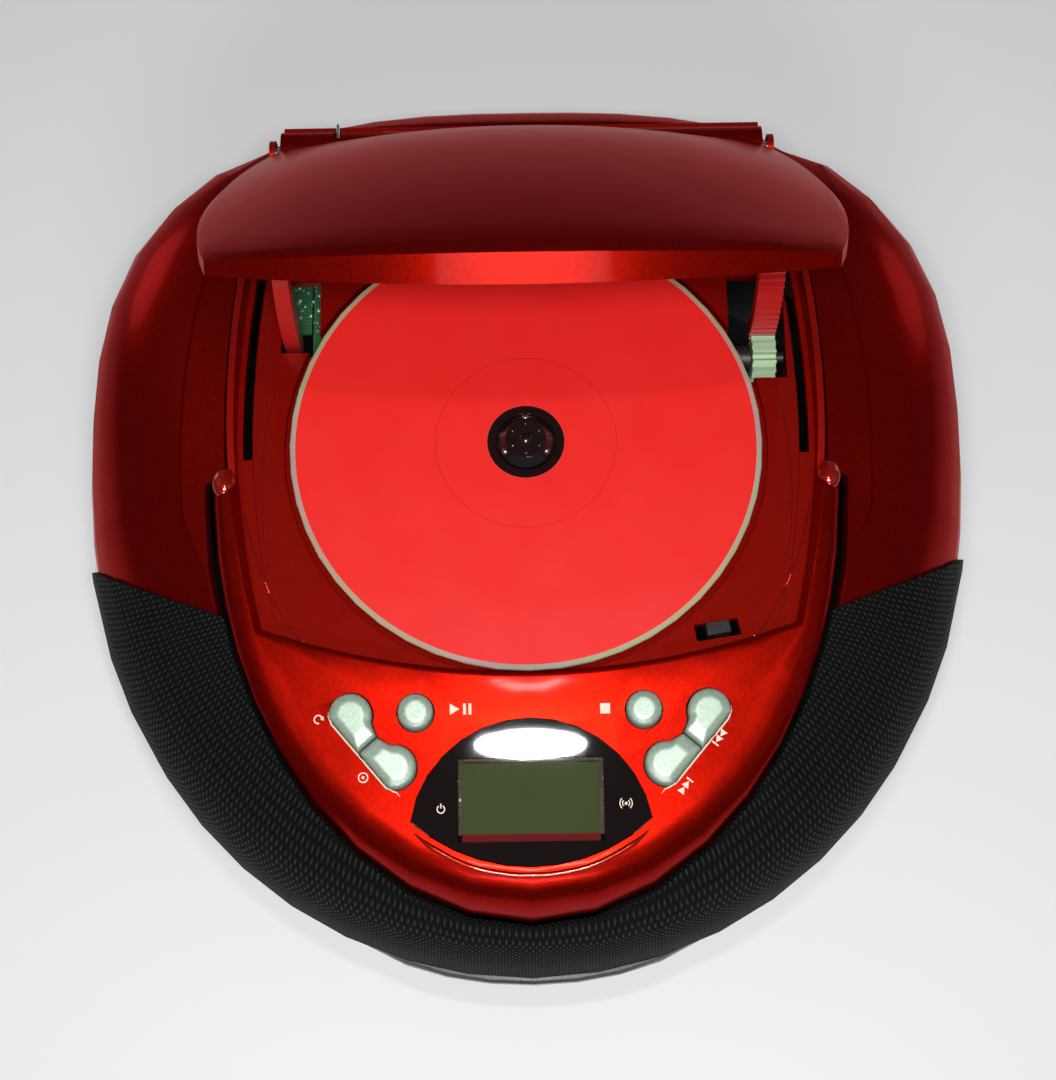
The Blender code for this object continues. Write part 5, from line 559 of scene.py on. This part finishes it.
def tube_mesh(name, sections, closed=True, matrix=None):
    """A smooth tube through sections of points, closed to a loop or ended flat."""
    shape = bmesh.new()
    rings = [[shape.verts.new(point) for point in section] for section in sections]
    for one, two in zip(rings, rings[1:] + rings[:1] if closed else rings[1:]):
        for k in range(len(one)):
            m = (k + 1) % len(one)
            shape.faces.new((one[k], two[k], two[m], one[m]))
    if not closed:
        shape.faces.new(rings[0])
        shape.faces.new(list(reversed(rings[-1])))
    if matrix:
        bmesh.ops.transform(shape, matrix=matrix, verts=shape.verts)
    bmesh.ops.recalc_face_normals(shape, faces=shape.faces)
    for face in shape.faces:
        face.smooth = len(face.verts) == 4
    return mesh_of(name, shape)


def circle(sides):
    """The turns of evenly spaced points round a circle."""
    return [2 * pi * k / sides for k in range(sides)]


def make_ball(name, centre, radius, finish, body, slot, stretch=(1, 1, 1), steps=12):
    """A small round boss."""
    shape = bmesh.new()
    bmesh.ops.create_uvsphere(shape, u_segments=steps, v_segments=steps // 2 + 2, radius=radius)
    for vertex in shape.verts:
        vertex.co = vertex.co * Vector(stretch) + centre
    for face in shape.faces:
        face.smooth = True
    link(name, mesh_of(name, shape), finish, body, slot)


def make_ring(name, centre, radius, thick, finish, body, slot, matrix=None, count=48, level=None):
    """A rounded ring that lies flat, or at the heights that level gives along it."""
    sections = []
    for turn in circle(count):
        away = Vector((cos(turn), sin(turn), 0))
        middle = centre.copy()
        if level:
            spot = middle + away * radius
            middle.z = level(spot.x / MM, (spot.y - DISC_Y) / MM).z
        sections.append([middle + away * (radius + thick * cos(roll)) + UP * thick * sin(roll)
                         for roll in circle(8)])
    link(name, tube_mesh(name, sections, matrix=matrix), finish, body, slot)


def make_disk(name, centre, radius, depth, finish, body, slot, matrix=None, steps=32):
    """A short round boss with softened edges."""
    shape = bmesh.new()
    bmesh.ops.create_cone(shape, cap_ends=True, segments=steps, radius1=radius, radius2=radius, depth=depth)
    rims = [edge for edge in shape.edges if len(edge.link_faces) == 2 and edge.calc_face_angle(0) > 1]
    bmesh.ops.bevel(shape, geom=rims, offset=0.15 * MM, segments=2, affect="EDGES")
    bmesh.ops.translate(shape, vec=centre, verts=shape.verts)
    if matrix:
        bmesh.ops.transform(shape, matrix=matrix, verts=shape.verts)
    link(name, mesh_of(name, shape), finish, body, slot)


def plate_mesh(name, rows, thickness):
    """A thin plate whose face is a grid of (point, normal) rows."""
    shape = bmesh.new()
    over = [[shape.verts.new(spot + normal * thickness * MM) for spot, normal in row] for row in rows]
    under = [[shape.verts.new(spot - normal * 0.1 * MM) for spot, normal in row] for row in rows]
    high, wide = len(rows), len(rows[0])
    for n in range(high - 1):
        for k in range(wide - 1):
            shape.faces.new((over[n][k], over[n][k + 1], over[n + 1][k + 1], over[n + 1][k]))
            shape.faces.new((under[n][k], under[n + 1][k], under[n + 1][k + 1], under[n][k + 1]))
    border = ([(0, k) for k in range(wide)] + [(n, wide - 1) for n in range(1, high)]
              + [(high - 1, k) for k in range(wide - 2, -1, -1)] + [(n, 0) for n in range(high - 2, 0, -1)])
    for (n, k), (m, j) in zip(border, border[1:] + border[:1]):
        shape.faces.new((over[n][k], under[n][k], under[m][j], over[m][j]))
    bmesh.ops.recalc_face_normals(shape, faces=shape.faces)
    return mesh_of(name, shape)


def arc_strip(radius, width, start, end, steps=18):
    """The quads of a flat ring or part of one."""
    quads = []
    for n in range(steps):
        a = radians(start + (end - start) * n / steps)
        b = radians(start + (end - start) * (n + 1) / steps)
        r, s = radius - width / 2, radius + width / 2
        quads.append([(r * cos(a), r * sin(a)), (s * cos(a), s * sin(a)),
                      (s * cos(b), s * sin(b)), (r * cos(b), r * sin(b))])
    return quads


def bar(x0, y0, x1, y1):
    """The corners of a flat bar."""
    return [(x0, y0), (x1, y0), (x1, y1), (x0, y1)]


GLYPHS = {
    "play_pause": [[(-2.7, -1.3), (-0.4, 0), (-2.7, 1.3)], bar(0.5, -1.3, 1.2, 1.3), bar(1.8, -1.3, 2.5, 1.3)],
    "stop": [bar(-1.2, -1.2, 1.2, 1.2)],
    "previous": [bar(-2.7, -1.2, -2.2, 1.2), [(-2.0, 0), (0.1, -1.2), (0.1, 1.2)],
                 [(0.2, 0), (2.3, -1.2), (2.3, 1.2)]],
    "next": [bar(2.2, -1.2, 2.7, 1.2), [(2.0, 0), (-0.1, 1.2), (-0.1, -1.2)],
             [(-0.2, 0), (-2.3, 1.2), (-2.3, -1.2)]],
    "mode": arc_strip(1.3, 0.45, 60, 330) + [[(0.2, 1.9), (1.5, 1.15), (0.3, 0.5)]],
    "source": arc_strip(1.5, 0.4, 0, 360, 24) + arc_strip(0.35, 0.35, 0, 360, 10),
    "power": arc_strip(1.0, 0.32, 120, 420, 20) + [bar(-0.16, 0.2, 0.16, 1.5)],
    "stereo": (arc_strip(0.22, 0.4, 0, 360, 10) + arc_strip(0.95, 0.28, -50, 50, 8)
               + arc_strip(0.95, 0.28, 130, 230, 8) + arc_strip(1.65, 0.28, -50, 50, 8)
               + arc_strip(1.65, 0.28, 130, 230, 8)),
}
PANEL = surface_of("front_bezel")
LENS = surface_of("display_lens")
# Each print: its glyph, the surface it lies on, its plan place, its turn in degrees and its scale.
PRINTS = [
    ("play_pause", PANEL, -16.6, -69.9, 0, 1.0),
    ("stop", PANEL, 18.2, -70.2, 0, 1.0),
    ("mode", PANEL, -51.2, -71.6, -50, 0.75),
    ("source", PANEL, -40.3, -85.7, -50, 0.75),
    ("previous", PANEL, 45.8, -77.2, 52, 0.8),
    ("next", PANEL, 37.0, -88.9, 52, 0.8),
    ("power", LENS, -21.6, -93.7, 0, 0.9),
    ("stereo", LENS, 22.7, -92.9, 0, 0.9),
]
BALL_CIRCLE = 6.0
RIB_CIRCLE = 3.9
SIDES = ((-1, "left"), (1, "right"))
# Plan points of fine ridges painted as highlights: the lens's rolled front edge, the deck's rolled edge, the
# well's edge and the keys' recess edge.
LENS_ROLL_HALF = [(28.6, -98.6), (24.0, -102.4), (15.0, -107.0), (6.0, -109.0)]
DECK_ROLL = [(71.6, -14.0), (68.6, -27.0), (63.6, -40.0), (58.0, -49.6), (54.0, -52.6)]
WELL_EDGE_HIGHLIGHT = [(63.6, 18.0), (66.2, 4.2), (66.8, -9.4), (66.0, -22.7), (63.2, -35.9)]
KEY_EDGE_HIGHLIGHT = [(48.3, -69.4), (42.6, -76.5), (36.9, -83.6), (31.2, -90.7)]
BOARD_CORNER = (-60.6, 51.0)
SOLDER_DOTS = [(-55.2, 40.5), (-57.0, 42.6), (-55.0, 44.2), (-58.6, 45.4), (-56.4, 46.8), (-54.9, 48.6),
               (-57.8, 49.4), (-60.2, 50.8), (-56.0, 51.6), (-58.2, 53.0), (-61.4, 41.2), (-60.0, 47.2)]
ARM_NOSE_X = 75.2
ARM_NOSE_Y = -12.6
VENTS = 11
VENT_START = 72
VENT_PITCH = 3.1
VENT_HALF_ANGLE = 0.42
VENT_HEIGHTS = [12.5 + 1.25 * n for n in range(8)]
VENT_RIB_ANGLE = 0.35
VENT_RIB_HEIGHTS = [12.2 + 1.35 * n for n in range(8)]
BASE_LINES = (9.0, 10.8)
LINER_RINGS = (16, 24)
LINER_PADS = ((-36, -26), (36, -26), (-36, 34), (36, 34))
SCREWS = ((-84, -34), (84, -34), (-74, 40), (74, 40), (0, -88))
SCREW_CROSS = ((0.45, 2.1), (2.1, 0.45))
RATING_PLATE = (-22, -62)
RATING_PLATE_STEP = (4.4, 4.0)
DOOR_RIDGES = [5 + 1.7 * n for n in range(5)]
# Each lamp: its name, place, target, width, power in watts, and depth where it isn't round.
LAMPS = [
    ("front_soft", (0.0, -0.24, 0.70), (0, 0, 0.06), 0.17, 3.5, 0.07),
    ("top_small", (0.0, -0.10, 0.70), (0, 0, 0.06), 0.06, 0.5, 0.016),
    ("skirt_soft", (0.0, -0.64, 0.70), (0, 0, 0.15), 0.40, 1.5, 0.10),
    ("left_soft", (-0.9, 0.3, 1.1), (0, 0, 0.05), 0.8, 0.3, None),
    ("right_soft", (0.9, -0.3, 0.9), (0, 0, 0.05), 0.7, 0.22, None),
    ("rear_left", (-0.95, 0.75, 0.25), (0, 0, 0.05), 0.5, 0.9, None),
    ("rear_right", (1.0, 0.65, 0.25), (0, 0, 0.05), 0.5, 0.7, None),
]
FLOOR_HALF_WIDTH = 6.0
CAMERA_LENS = 65.58
CAMERA_TILT = radians(71.13)
CAMERA_ROLL = radians(-0.85)
CAMERA_PLACE = (0.18 * MM, -176.41 * MM, 562.45 * MM)


def print_glyph(glyph, tree, x, y, turn, scale):
    """Printed marks laid on a surface: each shape is a thin raised plate that follows it."""
    shape = bmesh.new()
    c, s = cos(radians(turn)) * scale, sin(radians(turn)) * scale
    for outline in GLYPHS[glyph]:
        over, under = [], []
        for px, py in outline:
            hit, normal = on_top(tree, x + px * c - py * s, y + px * s + py * c)
            over.append(shape.verts.new(hit + normal * 0.06 * MM))
            under.append(shape.verts.new(hit - normal * 0.05 * MM))
        shape.faces.new(over)
        shape.faces.new(list(reversed(under)))
        for n in range(len(over)):
            m = (n + 1) % len(over)
            shape.faces.new((over[n], under[n], under[m], over[m]))
    bmesh.ops.recalc_face_normals(shape, faces=shape.faces)
    link("print_" + glyph, mesh_of("print_" + glyph, shape), "cream_print_and_highlight", "housing", "mint_silver")


def make_hub_details():
    """Spring balls and ribs that hold the disc on its hub."""
    hub = home("disc_hub")
    for n in range(3):
        turn = radians(90 + 120 * n)
        spot = at(BALL_CIRCLE * cos(turn), BALL_CIRCLE * sin(turn), DISC_TOP + 0.9 * MM)
        make_ball("hub_ball_%d" % (n + 1), spot, 0.95 * MM, "bright_steel", *hub)
    crown = DISC_TOP + 2.35 * MM
    for n in range(6):
        turn = radians(60 * n + 30)
        spot = at(RIB_CIRCLE * cos(turn), RIB_CIRCLE * sin(turn), crown)
        make_ball("hub_rib_%d" % (n + 1), spot, 0.55 * MM, "hub_black", *hub, stretch=(1, 1, 0.8), steps=10)
    make_ball("hub_tip", at(0, 0, crown), 1.6 * MM, "hub_black", *hub, stretch=(1, 1, 0.45), steps=16)


def curve_through(points, steps=8):
    """Plan points on a smooth curve through the given ones."""
    ends = [points[0]] + list(points) + [points[-1]]
    out = []
    for n in range(1, len(ends) - 2):
        a, b, c, d = [Vector(ends[n + k]) for k in (-1, 0, 1, 2)]
        for k in range(steps):
            t = k / steps
            line = 2 * b + (c - a) * t
            out.append(0.5 * (line + (2 * a - 5 * b + 4 * c - d) * t * t + (3 * b - 3 * c + d - a) * t ** 3))
    return out + [Vector(points[-1])]


def bead(name, tree, points, radius, finish, slot, lift, taper=0.12):
    """A fine rounded ridge laid along a surface, thinning out at its ends."""
    centres, normals = [], []
    for spot in curve_through(points):
        hit, normal = on_top(tree, spot.x, spot.y)
        centres.append(hit + normal * lift * MM)
        normals.append(normal)
    last = len(centres) - 1
    sections = []
    for n, centre in enumerate(centres):
        ahead = centres[min(n + 1, last)] - centres[max(n - 1, 0)]
        aside = ahead.cross(normals[n]).normalized()
        over = aside.cross(ahead).normalized()
        share = n / last
        size = radius * MM * max(0.15, min(1.0, share / taper, (1 - share) / taper))
        sections.append([centre + (aside * cos(turn) + over * sin(turn)) * size for turn in circle(10)])
    link(name, tube_mesh(name, sections, closed=False), finish, "housing", slot)


def mirrored(points, side):
    """Plan points on the left side (-1) or on the right side (1)."""
    return [(side * x, y) for x, y in points]


def make_trim_lines():
    """The rolled ridges round the lens, the keys and the deck, painted brighter than the panel as painted
    highlights of these edges.
    """
    deck = surface_of("cd_deck")
    roll = mirrored(LENS_ROLL_HALF, -1) + [(0, -109.3)] + LENS_ROLL_HALF[::-1]
    # Painted highlight: a ridge in lacquer brighter than the panel, along the lens's rolled front edge.
    bead("lens_roll", PANEL, roll, 0.75, "painted_highlight_lacquer", "red_metallic", lift=-0.1)
    for side, name in SIDES:
        edge, well, keys = (mirrored(points, side) for points in (DECK_ROLL, WELL_EDGE_HIGHLIGHT, KEY_EDGE_HIGHLIGHT))
        # Painted highlights: brighter lacquer ridges along the deck's rolled edge and the well's edge, and a
        # cream ridge along the keys' recess edge.
        bead("deck_roll_" + name, deck, edge, 0.45, "painted_highlight_lacquer", "red_inner", lift=-0.32)
        bead("well_edge_highlight_" + name, deck, well, 0.35, "painted_highlight_lacquer", "red_inner", lift=-0.08)
        bead("key_edge_highlight_" + name, PANEL, keys, 0.25, "cream_print_and_highlight", "mint_silver", lift=-0.05)


def make_solder():
    """A corner of the board under the left arm's hole, with its solder dots."""
    board_low, board_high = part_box("main_board")
    low, top = board_low.z, board_high.z
    shape = bmesh.new()
    bmesh.ops.create_cube(shape, size=1.0)
    size = Vector((8.0 * MM, 27.0 * MM, (top - low) * 0.9))
    for vertex in shape.verts:
        vertex.co = vertex.co * size + at(*BOARD_CORNER, (low + top) / 2)
    bmesh.ops.bevel(shape, geom=shape.edges[:], offset=0.2 * MM, segments=1, affect="EDGES")
    link("board_corner", mesh_of("board_corner", shape), "green_board", *home("main_board"))
    for n, (x, y) in enumerate(SOLDER_DOTS):
        radius = (0.42 + 0.12 * (n % 3)) * MM
        make_ball("solder_%d" % (n + 1), at(x, y, top), radius, "solder", *home("main_board"),
                  stretch=(1, 1, 0.7), steps=10)


def make_vents():
    """Vent slots with a rib beside each, on the base's rear wall; each slot is a thin near-black plate, painted
    shade where the slot opens.
    """
    wall = surface_of("bottom_case")
    for n in range(VENTS):
        middle = VENT_START + VENT_PITCH * n
        edge = middle + VENT_HALF_ANGLE
        rows = [[side_point(wall, middle + VENT_HALF_ANGLE * k, height) for k in (-1, 0, 1)]
                for height in VENT_HEIGHTS]
        # Painted shade: a near-black plate over the slot.
        link("vent_%d" % (n + 1), plate_mesh("vent", rows, 0.05), "vent_black", *home("bottom_case"))
        rows = [[side_point(wall, edge + VENT_RIB_ANGLE * k, height) for k in (0, 1)]
                for height in VENT_RIB_HEIGHTS]
        link("vent_rib_%d" % (n + 1), plate_mesh("vent_rib", rows, 0.4), "black_shell", *home("bottom_case"))


def make_base_lines():
    """Two fine ridges round the base, just over its curved foot."""
    wall = surface_of("bottom_case")
    for n, height in enumerate(BASE_LINES):
        sections = []
        for k in range(144):
            spot, normal = side_point(wall, 2.5 * k, height)
            across = normal.cross(UP).normalized().cross(normal)
            sections.append([spot + (normal * cos(turn) + across * sin(turn)) * 0.3 * MM for turn in circle(6)])
        link("base_line_%d" % (n + 1), tube_mesh("base_line", sections), "black_shell", *home("bottom_case"))


def make_lid_inside():
    """Stiffening rings and felt pads on the lid's inner skin, laid out on the closed lid."""
    open_lid = Matrix.Translation(HINGE) @ Matrix.Rotation(-LID_OPEN_ANGLE, 4, "X") @ Matrix.Translation(-HINGE)
    close_lid = open_lid.inverted()
    mesh = nodes["lid_liner"].data
    points = [close_lid @ vertex.co for vertex in mesh.vertices]
    skin = BVHTree.FromPolygons(points, [list(face.vertices) for face in mesh.polygons])

    def under(x, y):
        hit, _, _, _ = skin.ray_cast(at(x, y, DISC_TOP - 1 * MM), UP)
        return hit
    lid = home("lid_liner")
    for n, radius in enumerate(LINER_RINGS):
        make_ring("liner_ring_%d" % (n + 1), at(0, 0, 0), radius * MM, 0.7 * MM, "red_satin", *lid,
                  matrix=open_lid, level=under)
    for n, (x, y) in enumerate(LINER_PADS):
        spot = at(x, y, under(x, y).z)
        make_disk("liner_pad_%d" % (n + 1), spot, 3.2 * MM, 1.0 * MM, "felt_grey", *lid, matrix=open_lid)


def make_underside():
    """Screws, a blank rating plate and the battery door's finger ridges; each screw's cross is a near-black
    plate, painted shade of its recess.
    """
    base = surface_of("bottom_case")
    case = home("bottom_case")

    def level(x, y):
        hit, normal, _, _ = base.ray_cast(at(x, y, UNDER_ALL), UP)
        return hit, normal
    for n, (x, y) in enumerate(SCREWS):
        hit, _ = level(x, y)
        make_ring("screw_seat_%d" % (n + 1), hit, 4.0 * MM, 0.35 * MM, "black_shell", *case, count=32)
        make_disk("screw_head_%d" % (n + 1), hit, 3.0 * MM, 0.9 * MM, "dark_steel_plate", *case, steps=24)
        # Painted shade: near-black plates in the shape of the screw's cross recess.
        for k, (wide, deep) in enumerate(SCREW_CROSS):
            rows = [[(hit + Vector((a * wide, b * deep, -0.45)) * MM, DOWN) for a in (-1, 1)] for b in (-1, 1)]
            cross = plate_mesh("screw_cross", rows, 0.04)
            link("screw_cross_%d_%d" % (n + 1, k + 1), cross, "vent_black", *case)
    left, front = RATING_PLATE
    across, along = RATING_PLATE_STEP
    rows = [[level(left + across * k, front + along * n) for k in range(11)] for n in range(6)]
    link("rating_plate", plate_mesh("rating_plate", rows, 0.1), "plate_grey", *case)
    door_low, door_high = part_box("battery_door")
    for n, from_rear in enumerate(DOOR_RIDGES):
        y = door_high.y - from_rear * MM
        rows = [[(Vector((x * MM, y + d * MM, door_low.z)), DOWN) for x in (-9, -3, 3, 9)] for d in (-0.4, 0.4)]
        ridge = plate_mesh("door_ridge", rows, 0.35)
        link("door_ridge_%d" % (n + 1), ridge, "black_shell", *home("battery_door"))


def make_arm_noses():
    """The rounded ends of the panel's two side arms, in the brighter lacquer as a painted highlight."""
    for side, name in SIDES:
        hit, _ = on_top(PANEL, side * ARM_NOSE_X, -14.5)
        centre = at(side * ARM_NOSE_X, ARM_NOSE_Y, hit.z - 1.2 * MM)
        make_ball("arm_nose_" + name, centre, 3.0 * MM, "painted_highlight_lacquer", *home("front_bezel"),
                  stretch=(1, 1.35, 0.75), steps=24)


def make_stage():
    """A plain pale floor."""
    mesh = bpy.data.meshes.new("floor")
    corners = [(x * FLOOR_HALF_WIDTH, y * FLOOR_HALF_WIDTH, 0) for x, y in ((-1, -1), (1, -1), (1, 1), (-1, 1))]
    mesh.from_pydata(corners, [], [(0, 1, 2, 3)])
    floor = bpy.data.objects.new("floor", mesh)
    bpy.context.scene.collection.objects.link(floor)
    made, tree, bsdf = shader("floor_paper")
    paint(tree, bsdf, Base_Color=blend(tree, noise(tree, 3, 2), (0.83, 0.83, 0.83), (0.86, 0.86, 0.86)))
    fix(bsdf, Roughness=0.9)
    mesh.materials.append(made)


def make_camera():
    """The photograph's view, found from the disc's ellipse."""
    forward = Vector((0, cos(CAMERA_TILT), -sin(CAMERA_TILT)))
    level = Vector((1, 0, 0))
    over = level.cross(forward)
    right = level * cos(CAMERA_ROLL) + over * sin(CAMERA_ROLL)
    up = over * cos(CAMERA_ROLL) - level * sin(CAMERA_ROLL)
    data = bpy.data.cameras.new("camera")
    data.sensor_width = 36
    data.lens = CAMERA_LENS
    data.clip_start = 0.02
    camera = bpy.data.objects.new("camera", data)
    bpy.context.scene.collection.objects.link(camera)
    camera.matrix_world = Matrix.Translation(CAMERA_PLACE) @ Matrix((right, up, -forward)).transposed().to_4x4()
    bpy.context.scene.camera = camera


def make_lamp(name, spot, target, size, power, deep):
    """A soft lamp: round, or oval where a depth is given."""
    data = bpy.data.lights.new(name, "AREA")
    data.shape = "ELLIPSE" if deep else "DISK"
    data.size = size
    if deep:
        data.size_y = deep
    data.energy = power
    lamp = bpy.data.objects.new(name, data)
    bpy.context.scene.collection.objects.link(lamp)
    lamp.location = spot
    lamp.rotation_mode = "QUATERNION"
    lamp.rotation_quaternion = (Vector(target) - Vector(spot)).to_track_quat("-Z", "Y")


def make_world():
    """Even, dim surroundings."""
    world = bpy.data.worlds.new("studio")
    bpy.context.scene.world = world
    world.use_nodes = True
    colour, strength = world.node_tree.nodes["Background"].inputs[:2]
    colour.default_value = (0.9, 0.92, 0.95, 1)
    strength.default_value = 0.12


for finish, names in DRESS.items():
    for name in names:
        if name in KEYS:
            dress_key(name)
        else:
            dress(name, finish, EDGES.get(name, 0.0) * MM)
dress_grille()
for row in PRINTS:
    print_glyph(*row)
make_hub_details()
make_trim_lines()
make_solder()
make_vents()
make_base_lines()
make_lid_inside()
make_underside()
make_arm_noses()
make_stage()
make_camera()
for row in LAMPS:
    make_lamp(*row)
make_world()
bpy.context.scene.view_settings.view_transform = "Standard"
